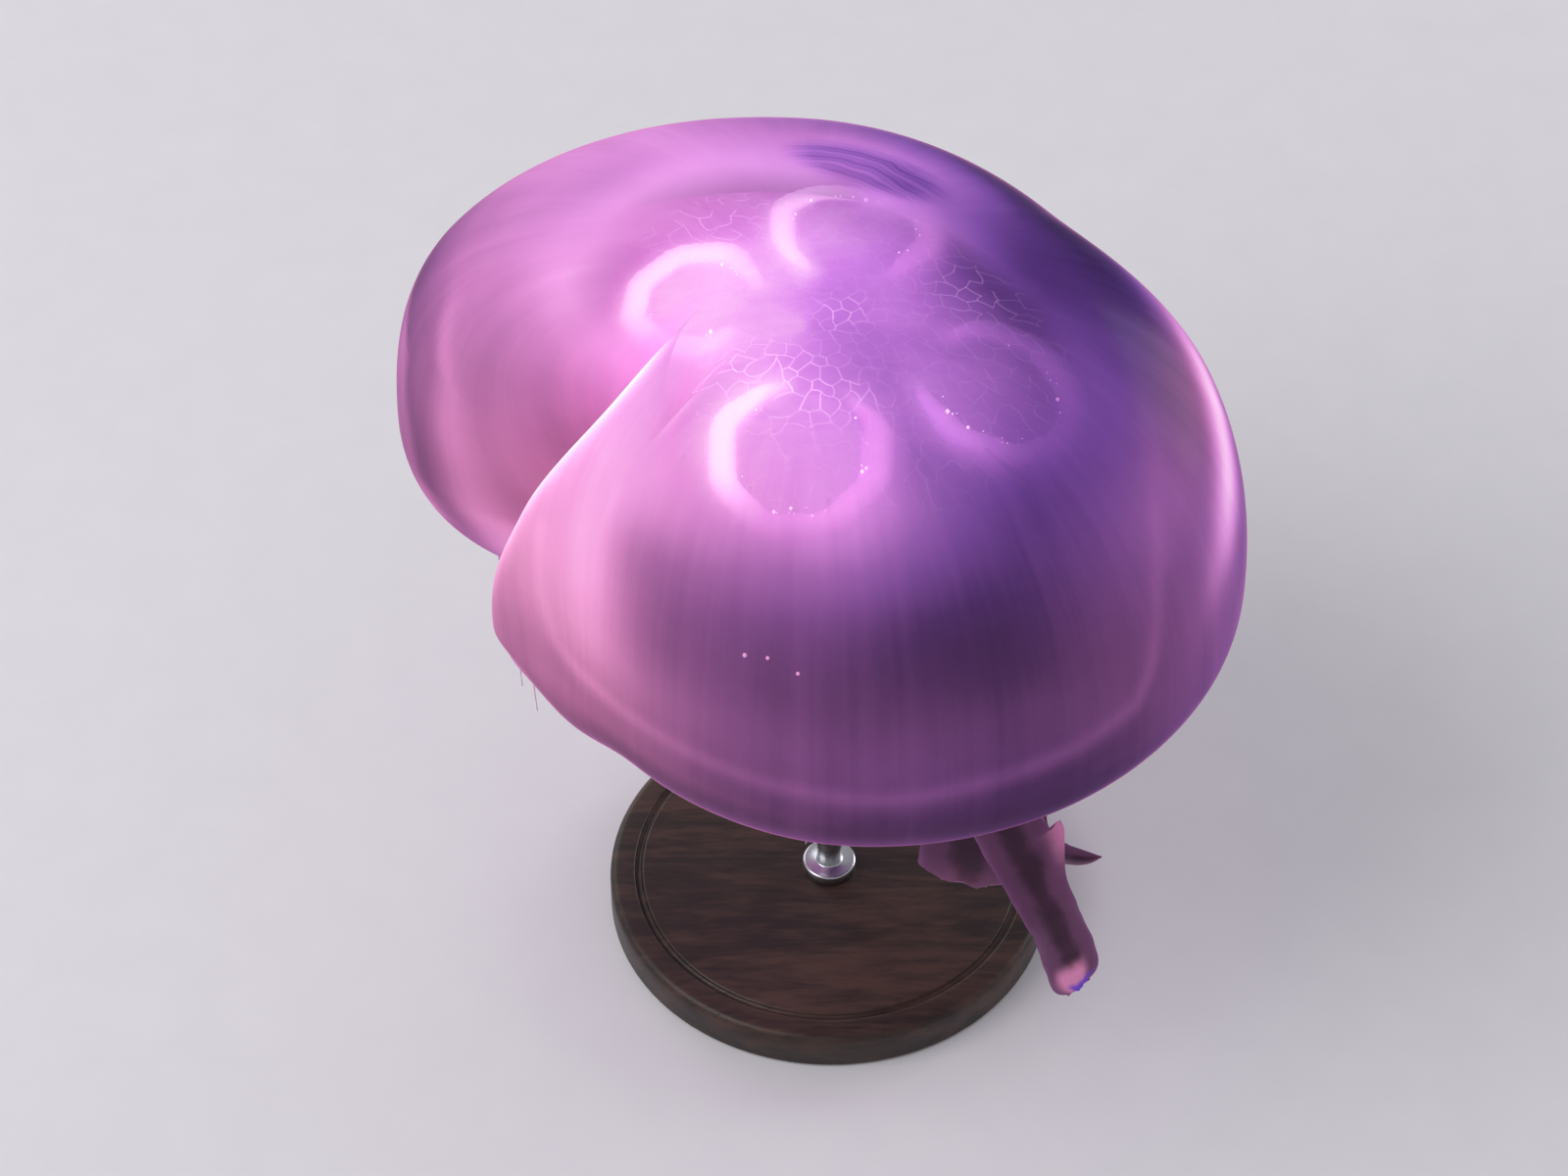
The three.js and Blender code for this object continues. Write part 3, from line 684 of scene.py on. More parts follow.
gel, paint = finish("bell_gel_coat", Roughness=0.3, Sheen_Weight=1.0, Sheen_Roughness=0.15,
                    Sheen_Tint=tint(255, 166, 226), Specular_IOR_Level=0.0, Coat_Weight=0.1,
                    Coat_Roughness=0.2, Emission_Strength=0.36)
mottle = paint.noise(paint.place(), 26.0, 3.0, 0.5, 0.6)
ripples = paint.noise(paint.place(), 90.0, 4.0, 0.55)
streak = radial_fibres(paint)
lens_rings_and_arm_folds = lens_rings(paint)
light_here = paint.attribute("light") + 0.07 * (mottle - 0.5) + 0.03 * (ripples - 0.5) + 0.14 * streak
jelly = jelly_colour(paint, light_here - 0.22 * lens_rings_and_arm_folds)
jelly.into("Base Color")
# The coat's emission is a painted glow, stronger where it is painted lighter.
(0.6 + 0.4 * light_here.smooth(0.55, 0.9)).blend(tint(0, 0, 0), jelly).into("Emission Color")
(paint.attribute("cover") + 0.1 * (mottle - 0.5)).into("Alpha")
(0.24 + 0.16 * ripples).into("Roughness")
(mottle + 0.3 * ripples).relief(0.12, 0.002)

lining, paint = finish("bell_lining", Roughness=0.5, Sheen_Weight=0.35, Sheen_Roughness=0.3,
                       Sheen_Tint=tint(255, 190, 232), Emission_Strength=0.28)
mottle = paint.noise(paint.place(), 26.0, 3.0, 0.5, 0.6)
streak = radial_fibres(paint)
film = paint.noise(paint.place((0.55, 1.0, 1.0)), 170.0, 4.0, 0.6, 1.2)
film = (film - 0.5) * paint.attribute("crown")
jelly = jelly_colour(paint, paint.attribute("light") + 0.3 * streak + 0.16 * film + 0.06 * (mottle - 0.5))
# The lining's painted light and shade go into its colour and into its emission, a painted glow.
jelly.into("Base Color", "Emission Color")
(0.45 - 0.3 * streak).into("Roughness")
(streak + film + 0.5 * mottle).relief(0.12, 0.0012)

quad_row = np.repeat(np.arange(row_count - 1), SKIN_COLUMNS)
material_of_face = np.concatenate([
    quad_row >= len(outer) + MARGIN_ROWS, np.zeros(SKIN_COLUMNS), np.ones(SKIN_COLUMNS)
])
bell = make_piece(
    "bell_skin", skin_points, skin_faces, [gel, lining], material_of_face,
    light=with_poles(light), warmth=with_poles(np.clip(warmth, 0, 1)), cover=with_poles(cover),
    crown=with_poles(crown), wrinkled=with_poles(wrinkled),
)
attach(bell, "root")
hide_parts("bell_crown", *[f"bell_lobe_{number}" for number in range(1, LAPPETS + 1)])

# ---- Sense organs and tentacles at the margin -----------------------------------------------
# Eight sense organs sit in the notches between the lappets, each a small rusty club of flesh.
# Between them hang hundreds of hair-thin hollow tentacles, soft as the skin that they grow from;
# the water carries them inward in front and lets longer ones hang below the wide left lobe.


def repeated(faces, copies, points_each):
    """The faces of one shape, once for each of its copies, whose points follow one another."""
    start = np.arange(copies)[:, None, None] * points_each
    return [(group[None] + start).reshape(-1, group.shape[1]) for group in faces]


def tubes(paths, radii, sides, squash=1.0):
    """Thin closed tubes, one along each path: every point of a path gets a ring of points at the
    tube's radius, square to the path, and a point on each end ring's middle closes the tube. The
    ring's height is its width times squash."""
    paths = np.asarray(paths, dtype=float)
    radii = np.broadcast_to(np.asarray(radii, dtype=float), paths.shape[:2])
    along = np.gradient(paths, axis=1)
    along /= np.linalg.norm(along, axis=-1, keepdims=True)
    lean = np.where(np.abs(along[:, :1, 2:]) > 0.8, [[[1.0, 0, 0]]], [[[0, 0, 1.0]]])
    across = np.cross(along, np.broadcast_to(lean, along.shape))
    across /= np.linalg.norm(across, axis=-1, keepdims=True)
    upward = np.cross(across, along)
    turn = np.linspace(0, 2 * math.pi, sides, endpoint=False)[:, None]
    rings = (paths[:, :, None] + radii[..., None, None]
             * (across[:, :, None] * np.cos(turn) - squash * upward[:, :, None] * np.sin(turn)))
    count, length = paths.shape[:2]
    points = np.concatenate([rings.reshape(count, -1, 3), paths[:, :1], paths[:, -1:]], axis=1)
    return points.reshape(-1, 3), repeated(closed_faces(length, sides), count, length * sides + 2)


def per_tube(values, points_each):
    """One value of each tube, repeated for all its points."""
    return np.repeat(np.asarray(values, dtype=float).ravel(), points_each)


def blobs(middles, radii, stretch=(1.0, 1.0, 1.0), rings=5, sides=8):
    """Small closed beads: a ring of points at each height along a sphere, closed by two poles."""
    middles = np.asarray(middles, dtype=float)
    height = np.linspace(-0.9, 0.9, rings)
    turn = np.linspace(0, 2 * math.pi, sides, endpoint=False)
    wide = np.sqrt(1 - height**2)[:, None]
    shell = np.stack([wide * np.cos(turn), wide * np.sin(turn), height[:, None] + 0 * turn], axis=-1)
    shell = np.concatenate([shell.reshape(-1, 3), [[0, 0, -1.0], [0, 0, 1.0]]]) * stretch
    points = middles[:, None] + np.reshape(radii, (-1, 1, 1)) * shell
    return points.reshape(-1, 3), repeated(closed_faces(rings, sides), len(middles), rings * sides + 2)


TENTACLES = 640
TENTACLE_RINGS = 9
TENTACLE_SIDES = 4
TENTACLE_RADIUS = 0.00036
TENTACLE_LENGTH = 0.024
LONG_TENTACLES = (158, 190)     # azimuths of the left lobe, where longer ones hang
chance = np.random.default_rng(7)

tentacle_azimuth = np.arange(TENTACLES) + 0.35 * chance.uniform(-1, 1, TENTACLES)
tentacle_azimuth = along_fold(tentacle_azimuth * 360 / TENTACLES, OUTSIDE["end"])
root_angle = OUTSIDE["end"] - 7.0 - NOTCH_DEPTH * notch(tentacle_azimuth)
root = bell_wall(OUTSIDE, root_angle, tentacle_azimuth)
turn = np.radians(tentacle_azimuth)
outward = np.stack([np.cos(turn), np.sin(turn), np.zeros(TENTACLES)], axis=-1)
sideways = np.stack([-outward[:, 1], outward[:, 0], np.zeros(TENTACLES)], axis=-1)
long_share = arc_of(tentacle_azimuth, *LONG_TENTACLES, 14)
length = TENTACLE_LENGTH * chance.uniform(0.72, 1.05, TENTACLES)
length = length * (1 + long_share * chance.uniform(0, 1.5, TENTACLES) ** 2)
length = length * (1 - 0.75 * notch(tentacle_azimuth))
inward = 0.0085 * chance.uniform(0.6, 1.25, TENTACLES) * (1 - 0.8 * long_share)
sway = 0.0022 * chance.normal(0, 1, TENTACLES)
phase = chance.uniform(0, 2 * math.pi, TENTACLES)
share = np.linspace(0, 1, TENTACLE_RINGS)[None, :, None]
curl = np.sin(2.4 * math.pi * share + phase[:, None, None]) * share
tentacle_paths = (
    root[:, None] - np.array([0, 0, 1.0]) * length[:, None, None] * share
    - outward[:, None] * inward[:, None, None] * share**1.5
    + sideways[:, None] * (sway[:, None, None] * share + 0.0011 * curl)
)
tentacle_radii = TENTACLE_RADIUS * (1.0 - 0.62 * share[..., 0]) * np.ones((TENTACLES, 1))
tentacle_look, paint = finish("tentacle_flesh", Roughness=0.4, Sheen_Weight=0.6, Sheen_Roughness=0.4)
beads = paint.noise(paint.place(), 420.0, 2.0)
strand = paint.attribute("warmth").blend(tint(158, 108, 178), tint(232, 172, 208))
(0.4 * beads.smooth(0.45, 0.65)).blend(strand, tint(250, 220, 240)).into("Base Color")
beads.relief(0.3, 0.0003)
# The tentacles are painted paler and rosier on the left, where the light falls.
tentacle_light_and_warmth = 0.5 + 0.5 * np.cos(np.radians(tentacle_azimuth - 188))
tentacles = make_piece(
    "margin_tentacles", *tubes(tentacle_paths, tentacle_radii, TENTACLE_SIDES), [tentacle_look],
    warmth=per_tube(tentacle_light_and_warmth, TENTACLE_RINGS * TENTACLE_SIDES + 2),
)
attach(tentacles, "root")
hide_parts(*[f"tentacle_fringe_{number}" for number in range(1, LAPPETS + 1)])

ORGAN_RADIUS = 0.0015
organ_azimuth = along_fold(NOTCH_AZIMUTH + 45.0 * np.arange(LAPPETS), OUTSIDE["end"])
organ_middle = bell_wall(OUTSIDE, np.full(LAPPETS, OUTSIDE["end"] - NOTCH_DEPTH + 2.0), organ_azimuth)
rust, paint = finish("sense_organ", Roughness=0.35)
paint.noise(paint.place(), 900.0, 2.0).blend(tint(150, 78, 92), tint(214, 138, 128)).into("Base Color")
organs = make_piece(
    "sense_organs", *blobs(organ_middle, np.full(LAPPETS, ORGAN_RADIUS), (1, 1, 1.5), 7, 12), [rust]
)
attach(organs, "root")

# ---- Gonads ---------------------------------------------------------------------------------
# Four horseshoes of pleated, milky tissue lie on the stomach's floor under the crown, open
# towards the mouth. They are soft and cloudy at the edges, and hold small grains of eggs that a
# painted glow makes bright.


def floor_over(x, y):
    """Height of the bell's lining over a point, by halving the span of profile angles 30 times."""
    azimuth = np.degrees(np.arctan2(y - BELL_Y, x - BELL_X))
    distance = np.hypot(x - BELL_X, y - BELL_Y)
    low, high = np.zeros_like(distance), np.full_like(distance, 80.0)
    for _ in range(30):
        middle = (low + high) / 2
        point = bell_wall(INSIDE, middle, azimuth)
        short = np.hypot(point[..., 0] - BELL_X, point[..., 1] - BELL_Y) < distance
        low, high = np.where(short, middle, low), np.where(short, high, middle)
    return bell_wall(INSIDE, low, azimuth)[..., 2]


GONAD_DIM, GONAD_LIT = 0.0044, 0.0036       # half-widths of the band on its dim and its lit side
GONAD_FLAT = 0.6                # height of the band's section as a share of its width
PLEATS, FINE_PLEATS = 30, 71
GONAD_RINGS, GONAD_SIDES = 170, 20

milk, paint = finish("gonad_milk", Roughness=0.5, Sheen_Weight=0.4, Sheen_Roughness=0.5,
                     Emission_Strength=0.9)
cloud = paint.noise(paint.place(), 210.0, 4.0, 0.6)
tissue = jelly_colour(paint, paint.attribute("light") + 0.12 * (cloud - 0.5))
# The tissue is painted paler on its lit side, and its emission is a painted glow.
tissue.into("Base Color", "Emission Color")
(paint.attribute("ridge").smooth(0.0, 1.4) * paint.attribute("body")).into("Alpha")
cloud.relief(0.25, 0.0005)

share = np.linspace(0.0, 1.0, GONAD_RINGS)
for number, gonad in enumerate(GONADS, start=1):
    wavering = gonad.radius + 0.0004 * np.sin(2 * math.pi * 7 * share)
    x, y, direction = gonad_point(gonad, share, wavering)
    path = np.stack([x, y, floor_over(x, y) + 0.0002], axis=-1)[None]
    lightness = gonad_light(gonad, direction)
    litness = (lightness - gonad.dim) / (gonad.lit - gonad.dim)
    swell = np.minimum(1, 0.3 + 1.6 * np.sin(math.pi * np.clip(share, 0.002, 0.998)))
    swell = swell * (GONAD_DIM + (GONAD_LIT - GONAD_DIM) * litness)
    pleat = 1 + 0.03 * np.sin(2 * math.pi * PLEATS * share)
    pleat = pleat + 0.015 * np.sin(2 * math.pi * FINE_PLEATS * share + number)
    points, faces = tubes(path, (swell * pleat)[None], GONAD_SIDES, GONAD_FLAT)
    section = np.sin(np.linspace(0, 2 * math.pi, GONAD_SIDES, endpoint=False))
    ridge = np.concatenate([np.tile(-section, GONAD_RINGS), [0.0, 0.0]])
    body = 0.4 + 0.25 * np.clip((lightness - 0.4) / 0.7, 0, 1) + 0.3 * litness
    body = body * smooth_step(np.sin(math.pi * share), 0.0, 0.22) * (1.1 - 55 * gonad.soft)
    horseshoe = make_piece(
        f"gonad_{number}_horseshoe", points, faces, [milk], ridge=ridge,
        light=np.append(np.repeat(lightness, GONAD_SIDES), [gonad.lit, gonad.lit]),
        body=np.append(np.repeat(body, GONAD_SIDES), [0, 0]),
        warmth=np.full(len(points), 0.5 if gonad.lit > 1.1 else 0.2),
    )
    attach(horseshoe, "root")
    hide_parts(f"gonad_{number}")

EGG_GRAINS = 16                 # per gonad, most of them too small to stand out
GRAIN_SMALLEST, GRAIN_SPREAD = 0.00018, 0.0005
GRAIN_RINGS, GRAIN_SIDES = 3, 6
grain_share = chance.uniform(0.06, 0.94, (len(GONADS), EGG_GRAINS))
grain_size = GRAIN_SMALLEST + GRAIN_SPREAD * chance.uniform(0, 1, (len(GONADS), EGG_GRAINS)) ** 5
grain_middle, grain_light = [], []
for gonad, shares in zip(GONADS, grain_share):
    reach = gonad.radius - 0.0030 + 0.0012 * chance.uniform(-1, 1, EGG_GRAINS)
    x, y, direction = gonad_point(gonad, shares, reach)
    grain_middle.append(np.stack([x, y, floor_over(x, y) + 0.0014], axis=-1))
    grain_light.append(gonad_light(gonad, direction) + 0.2)
# The grains are painted paler than the ring under them, more so on its lit side, and their emission is a
# painted glow.
egg, paint = finish("egg_grain", Roughness=0.4, Emission_Strength=1.1)
mottle = paint.noise(paint.place(), 800.0, 1.0)
jelly = jelly_colour(paint, paint.attribute("light") + 0.1 * (mottle - 0.5))
jelly.into("Base Color", "Emission Color")
grain_points, grain_faces = blobs(
    np.concatenate(grain_middle), grain_size.ravel(), rings=GRAIN_RINGS, sides=GRAIN_SIDES)
grains = make_piece(
    "egg_grains", grain_points, grain_faces, [egg],
    light=per_tube(np.concatenate(grain_light), GRAIN_RINGS * GRAIN_SIDES + 2),
    warmth=np.full(len(grain_points), 0.6),
)
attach(grains, "root")

# ---- Drops of mucus -------------------------------------------------------------------------
# Three small drops of mucus cling to the bell in front, where their wet gloss catches the light
# and a painted glow makes them brighter. They are clear, rosy and wet, and are only stuck on the
# skin.
SPECKS = [                      # profile angle, azimuth and radius
    (62.5, 260.5, 0.0006), (62.0, 264.0, 0.0005), (63.5, 268.5, 0.0005),
]
speck_angle, speck_azimuth, speck_size = (np.array(values) for values in zip(*SPECKS))
drop_look, paint = finish("mucus_drop", Roughness=0.15, Coat_Weight=0.5, Emission_Strength=0.35)
drop_shade = paint.noise(paint.place(), 700.0, 1.0).blend(tint(214, 140, 190), tint(228, 164, 206))
# Their emission is a painted glow.
drop_shade.into("Base Color", "Emission Color")
drop_middle = bell_wall(OUTSIDE, speck_angle, speck_azimuth)
drops = make_piece("mucus_drops", *blobs(drop_middle, speck_size, rings=7, sides=12), [drop_look])
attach(drops, "root")

# ---- Net of fine canals over the stomach ----------------------------------------------------
# A net of hair-thin white canals spans the stomach between the gonads, in uneven cells of about
# five millimetres, finest near its rim. It is part of the gel and lies just above the floor.
NET_CELL = 0.0045
NET_RADIUS = 0.050              # how far the net reaches from its middle
NET_THREAD = 0.00019            # radius of its threads
NET_LIFT = 0.0016
NET_MIDDLE = (0.001, 0.003)
NET_CLEAR = [                   # where the net shows best: middle, width and how much more
    (-0.021, -0.015, 0.009, 0.8), (-0.009, -0.020, 0.009, 0.8), (0.004, -0.023, 0.006, 0.3),
    (0.002, 0.004, 0.006, 0.5), (-0.026, 0.036, 0.011, 0.35), (0.030, 0.017, 0.009, 0.16),
]
NET_HALF = 15                   # cells from the middle to the edge of the lattice
NET_STEPS, NET_SIDES = 4, 4     # points along each thread, and round it
cells = np.arange(-NET_HALF, NET_HALF + 1)
column, row = np.meshgrid(cells, cells, indexing="ij")
cell_middle = NET_CELL * np.stack([column + 0.5 * (row % 2), math.sqrt(0.75) * row], axis=-1)
knot_shift = np.array([0.0, NET_CELL / math.sqrt(3)])
jitter = 0.15 * NET_CELL
upper_knot = cell_middle + knot_shift + jitter * chance.normal(0, 1, cell_middle.shape)
lower_knot = cell_middle - knot_shift + jitter * chance.normal(0, 1, cell_middle.shape)
i, j = np.meshgrid(np.arange(1, 2 * NET_HALF), np.arange(0, 2 * NET_HALF - 1), indexing="ij")
odd = (row[i, j] % 2).astype(int)
starts = np.concatenate([upper_knot[i, j].reshape(-1, 2)] * 3)
finishes = np.concatenate([
    lower_knot[i - 1 + odd, j + 1].reshape(-1, 2),
    lower_knot[i + odd, j + 1].reshape(-1, 2),
    lower_knot[i, j + 2].reshape(-1, 2),
])
out = np.hypot(*(starts + finishes).T) / 2
kept = (out < NET_RADIUS) & (chance.uniform(0, 1, len(out)) < 1.05 - 0.5 * (out / NET_RADIUS) ** 2)
starts, finishes = starts[kept], finishes[kept]
threads = len(starts)
step = np.linspace(0, 1, NET_STEPS)[None, :, None]
bow = np.stack([-(finishes - starts)[:, 1], (finishes - starts)[:, 0]], axis=-1)
bow = bow * 0.1 * chance.normal(0, 1, (threads, 1))
flat = starts[:, None] * (1 - step) + finishes[:, None] * step + bow[:, None] * np.sin(math.pi * step)
flat = flat * (1 + 0.25 * (np.linalg.norm(flat, axis=-1, keepdims=True) / NET_RADIUS) ** 2)
flat = flat + NET_MIDDLE
net_height = floor_over(flat[..., 0], flat[..., 1])[..., None] + NET_LIFT
net_paths = np.concatenate([flat, net_height], axis=-1)
thread_radius = NET_THREAD * chance.uniform(0.6, 1.15, threads)
clearness = 0.06 * np.ones(threads)
for east, north, width, gain in NET_CLEAR:
    from_clear = (starts + finishes) / 2 + NET_MIDDLE - (east, north)
    clearness = clearness + gain * bump(np.hypot(*from_clear.T), 0, width)
thread_look, paint = finish("net_thread", Roughness=0.4, Emission_Strength=0.6)
strength = paint.attribute("strength")
white = strength.blend(tint(242, 196, 246), tint(255, 226, 252))
# The threads' emission is a painted glow.
white.into("Base Color", "Emission Color")
(0.78 * strength).into("Alpha")
net = make_piece(
    "stomach_net", *tubes(net_paths, thread_radius[:, None], NET_SIDES), [thread_look],
    strength=per_tube(clearness * chance.uniform(0.6, 1.0, threads), NET_STEPS * NET_SIDES + 2),
)
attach(net, "root")

# ---- Radial canals --------------------------------------------------------------------------
# Sixteen canals run from the stomach to the margin just inside the lining, and fork twice on the
# way. They are fine channels in the jelly, just over its lining, and carry food outward.
STEMS = 16
CANAL_POINTS, CANAL_SIDES = 34, 5
CANAL_RADIUS = 0.00042
CANAL_LIFT = 0.0002
FORKS = [                       # side, first and last profile angle, and how far it spreads
    (0, 34, 152, 0.0), (1, 62, 152, 5.0), (-1, 58, 152, 5.5), (1, 92, 152, 2.3), (-1, 88, 152, 2.6),
]


def canal(azimuth, side, start, end, spread):
    """A canal's path on the lining: its azimuth leaves the stem's by spread degrees, smoothly after
    its start, and wanders a little; the profile angle goes evenly from start to end."""
    share = np.linspace(0, 1, CANAL_POINTS)
    angle = start + (end - start) * share
    bend = side * spread * smooth_step(share, -0.25, 0.8)
    line = azimuth + bend + 0.6 * np.sin(3 * math.pi * share + azimuth)
    return bell_wall(INSIDE, angle, along_fold(line, angle), lift=CANAL_LIFT)


stem_azimuth = 360 / STEMS * (np.arange(STEMS) + 0.25)
canal_paths = [canal(azimuth, *fork) for azimuth in stem_azimuth for fork in FORKS]
# The canals are painted paler and rosier on the left, where the light falls, and their emission is a
# painted glow.
canal_light_and_warmth = np.repeat(0.5 + 0.5 * np.cos(np.radians(stem_azimuth - 188)), len(FORKS))
canal_taper = CANAL_RADIUS * (1 - 0.4 * np.linspace(0, 1, CANAL_POINTS))[None]
canal_look, paint = finish("canal_wall", Roughness=0.45, Sheen_Weight=0.4, Emission_Strength=0.2)
flow = paint.noise(paint.place(), 160.0, 2.0)
wall_shade = paint.attribute("warmth").blend(tint(118, 70, 146), tint(226, 152, 202))
wall_shade = (0.3 * flow).blend(wall_shade, tint(246, 200, 232))
wall_shade.into("Base Color", "Emission Color")
(0.12 + 0.2 * flow).into("Alpha")
canals = make_piece(
    "radial_canals", *tubes(np.array(canal_paths), canal_taper, CANAL_SIDES), [canal_look],
    warmth=per_tube(canal_light_and_warmth, CANAL_POINTS * CANAL_SIDES + 2),
)
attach(canals, "root")

# ---- Mouth and oral arms --------------------------------------------------------------------
# A short square stalk hangs from the stomach, and from its corners four long oral arms: folded
# ribbons of thin, dark, frilled flesh that trail to the front right. One skin covers each.
MOUTH_BOTTOM = GIRTH_Z + 0.030
MOUTH_NECK, MOUTH_LIP, MOUTH_CORNER = 0.011, 0.015, 0.22
ARM_ROOT, ARM_DROP = 0.0125, 0.052
ARM_MID_THICK, ARM_EDGE_THICK = 0.0034, 0.0009
ARM_ROWS, ARM_COLUMNS = 220, 28

# Each arm: the azimuths that it is rooted at and faces, its tip from the girth's middle, the
# direction there and how far it is pulled along that, four widths from root to tip, how deep the
# gutter is as a share of the width, and how solid the flesh looks. The third is a thin veil.
Arm = namedtuple("Arm", "root face tip end pull widths gutter solid")
ARMS = [
    Arm(297, 297, (0.0655, -0.072, -0.1025), (0.25, -0.30, -0.91), 0.046,
        (0.011, 0.021, 0.0185, 0.0145), 0.45, 0.95),
    Arm(31, 20, (0.0716, -0.046, -0.0795), (0.96, -0.06, 0.30), 0.038,
        (0.011, 0.014, 0.028, 0.0012), 0.3, 0.95),
    Arm(207, 268, (0.0345, -0.054, -0.0805), (-0.30, -0.30, -0.92), 0.045,
        (0.011, 0.022, 0.026, 0.027), 0.15, 0.8),
    Arm(120, 120, (0.034, 0.018, -0.092), (0.35, 0.0, -0.94), 0.044,
        (0.011, 0.024, 0.018, 0.007), 0.5, 0.95),
]
# The first arm's frill has a pointed corner: where, of the arm's length, how far out it stands, of
# half the width, and how far its point reaches back towards the root.
EAR_AT, EAR_OUT, EAR_BACK = 0.722, 0.44, 0.0034


def level_direction(azimuth):
    """The level unit vector at an azimuth."""
    return np.array([math.cos(math.radians(azimuth)), math.sin(math.radians(azimuth)), 0.0])


def arm_skin(arm, seed):
    """A gutter-shaped ribbon along a cubic curve from the mouth's corner to the tip, turned on its
    way to face the second azimuth. Across it, the edges lift by the gutter and ruffle in waves that
    grow towards them, and the first arm's right edge steps out in a pointed corner; two layers of
    the same grid, half the thickness to each side of the middle, close into one skin. It comes with
    how near the rim each point is, where a rosy painted highlight lies, and how violet the very tip is."""
    out, facing = level_direction(arm.root), level_direction(arm.face)
    start = out * ARM_ROOT + [0, 0, MOUTH_BOTTOM + 0.004]
    tip = np.array(arm.tip) + [0, 0, GIRTH_Z]
    end = np.array(arm.end) / np.linalg.norm(arm.end)
    knots = np.stack([start, start - [0, 0, ARM_DROP + 0.004], tip - arm.pull * end, tip])
    t = 1 - (1 - np.linspace(0, 1, ARM_ROWS)[:, None]) ** 1.35
    curve = ((1 - t) ** 3 * knots[0] + 3 * (1 - t) ** 2 * t * knots[1]
             + 3 * (1 - t) * t**2 * knots[2] + t**3 * knots[3])
    along = np.gradient(curve, axis=0)
    along /= np.linalg.norm(along, axis=-1, keepdims=True)
    side = np.cross(out + (facing - out) * smooth_step(t, 0.1, 0.7), along)
    side /= np.linalg.norm(side, axis=-1, keepdims=True)
    face = np.cross(along, side)
    width = through(np.stack([np.linspace(0, 1, 4), arm.widths], axis=-1), t[:, 0])[:, None] / 2

    across = np.linspace(-1, 1, ARM_COLUMNS)[None]
    edge = np.abs(across)
    right = across > 0
    frilled = 1.0 if arm is ARMS[0] else 0.0
    ear = smooth_step(t, EAR_AT - 0.014, EAR_AT) * (1 - smooth_step(t, EAR_AT, EAR_AT + 0.08))
    waist = smooth_step(t, 0.73, 0.79) * (1 - smooth_step(t, 0.82, 0.93))
    spread = 1 + frilled * right * (EAR_OUT * ear - 0.22 * waist)
    spread = spread * (1 + 0.008 * np.sin(2 * math.pi * 23 * t + seed) * edge**4)
    spread = spread * np.sqrt(np.clip(1 - ((t - 0.955) / 0.045).clip(0, 1) ** 3, 0.25, 1))
    waves = (0.7 * np.sin(2 * math.pi * 3.5 * t + 1.3 * right + seed)
             + 0.25 * np.sin(2 * math.pi * 9 * t + 2.1 * right + 2 * seed) * edge**2
             + 0.05 * np.sin(2 * math.pi * 31 * t + 4 * seed + 3 * right) * edge**6)
    waves = waves * (1 - smooth_step(t, 0.85, 0.97)) * smooth_step(t, 0.08, 0.3)
    hollow = edge**1.6 * smooth_step(t, 0, 0.2) * (1 - smooth_step(t, 0.82, 1))
    lift = arm.gutter * width * hollow + 0.0026 * waves * edge**2.5 * np.minimum(1, width / 0.006)
    thick = ARM_MID_THICK * (1 - edge**1.5) + ARM_EDGE_THICK * edge**1.5
    thick = thick * np.sqrt(1.0001 - edge**8) * np.minimum(1, 0.3 + 4 * (1 - t)) / 2
    ragged = 0.0006 * np.sin(5 * across + seed) + 0.0002 * np.sin(17 * across + 2 * seed)
    ragged = (ragged - 0.0015 * across * frilled) * min(1, arm.widths[3] / 0.02)
    pointed = EAR_BACK * frilled * ear * smooth_step(across, 0.5, 1.0)
    middle = curve[:, None] + side[:, None] * (width * across * spread)[..., None]
    middle = middle + along[:, None] * (ragged * smooth_step(t, 0.85, 1.0) - pointed)[..., None]
    layers = [middle + face[:, None] * (lift + half * thick)[..., None] for half in (1, -1)]
    loop = np.concatenate([layers[0], layers[1][:, ::-1]], axis=1)
    ends = [loop[0].mean(axis=0), loop[-1].mean(axis=0)]
    points = np.concatenate([loop.reshape(-1, 3), ends])

    # The painted highlight: at the first arm's tip and its pointed corner, and faint at the other tips.
    glow = frilled * smooth_step(t, 0.925, 0.965) * (1 - smooth_step(np.abs(across + 0.15), 0.3, 0.9))
    glow = glow + ear * frilled * smooth_step(across, 0.35, 0.95)
    glow = glow + 0.2 * (1 - frilled) * smooth_step(t, 0.93, 1)
    cold = frilled * smooth_step(t, 0.976, 0.992) * (1 - smooth_step(np.abs(across - 0.15), 0.45, 0.85))
    fields = []
    for field in (edge, glow, cold):
        field = np.concatenate([field, field[:, ::-1]], axis=1) * np.ones_like(t)
        fields.append(np.append(field, [field[0].mean(), field[-1].max()]))
    return points, closed_faces(ARM_ROWS, 2 * ARM_COLUMNS, turned_over=True), fields


flesh, paint = finish("arm_flesh", Roughness=0.4, Specular_IOR_Level=0.2, Sheen_Weight=0.5,
                      Sheen_Roughness=0.35, Sheen_Tint=tint(226, 160, 210), Coat_Weight=0.1,
                      Coat_Roughness=0.2, Emission_Strength=0.15)
rim, glow = paint.attribute("rim"), paint.attribute("glow")
lens_rings_and_arm_folds = paint.noise(paint.place(), 110.0, 4.0, 0.6, 0.8)
streaks = (rim * 2.2 + 0.5 * lens_rings_and_arm_folds).smooth(0.5, 1.6)
body = (0.55 * streaks + 0.6 * lens_rings_and_arm_folds).smooth(0.2, 0.9).blend(tint(62, 34, 56), tint(104, 62, 97))
edged = (0.5 * rim**9.0).blend(body, tint(140, 86, 140))
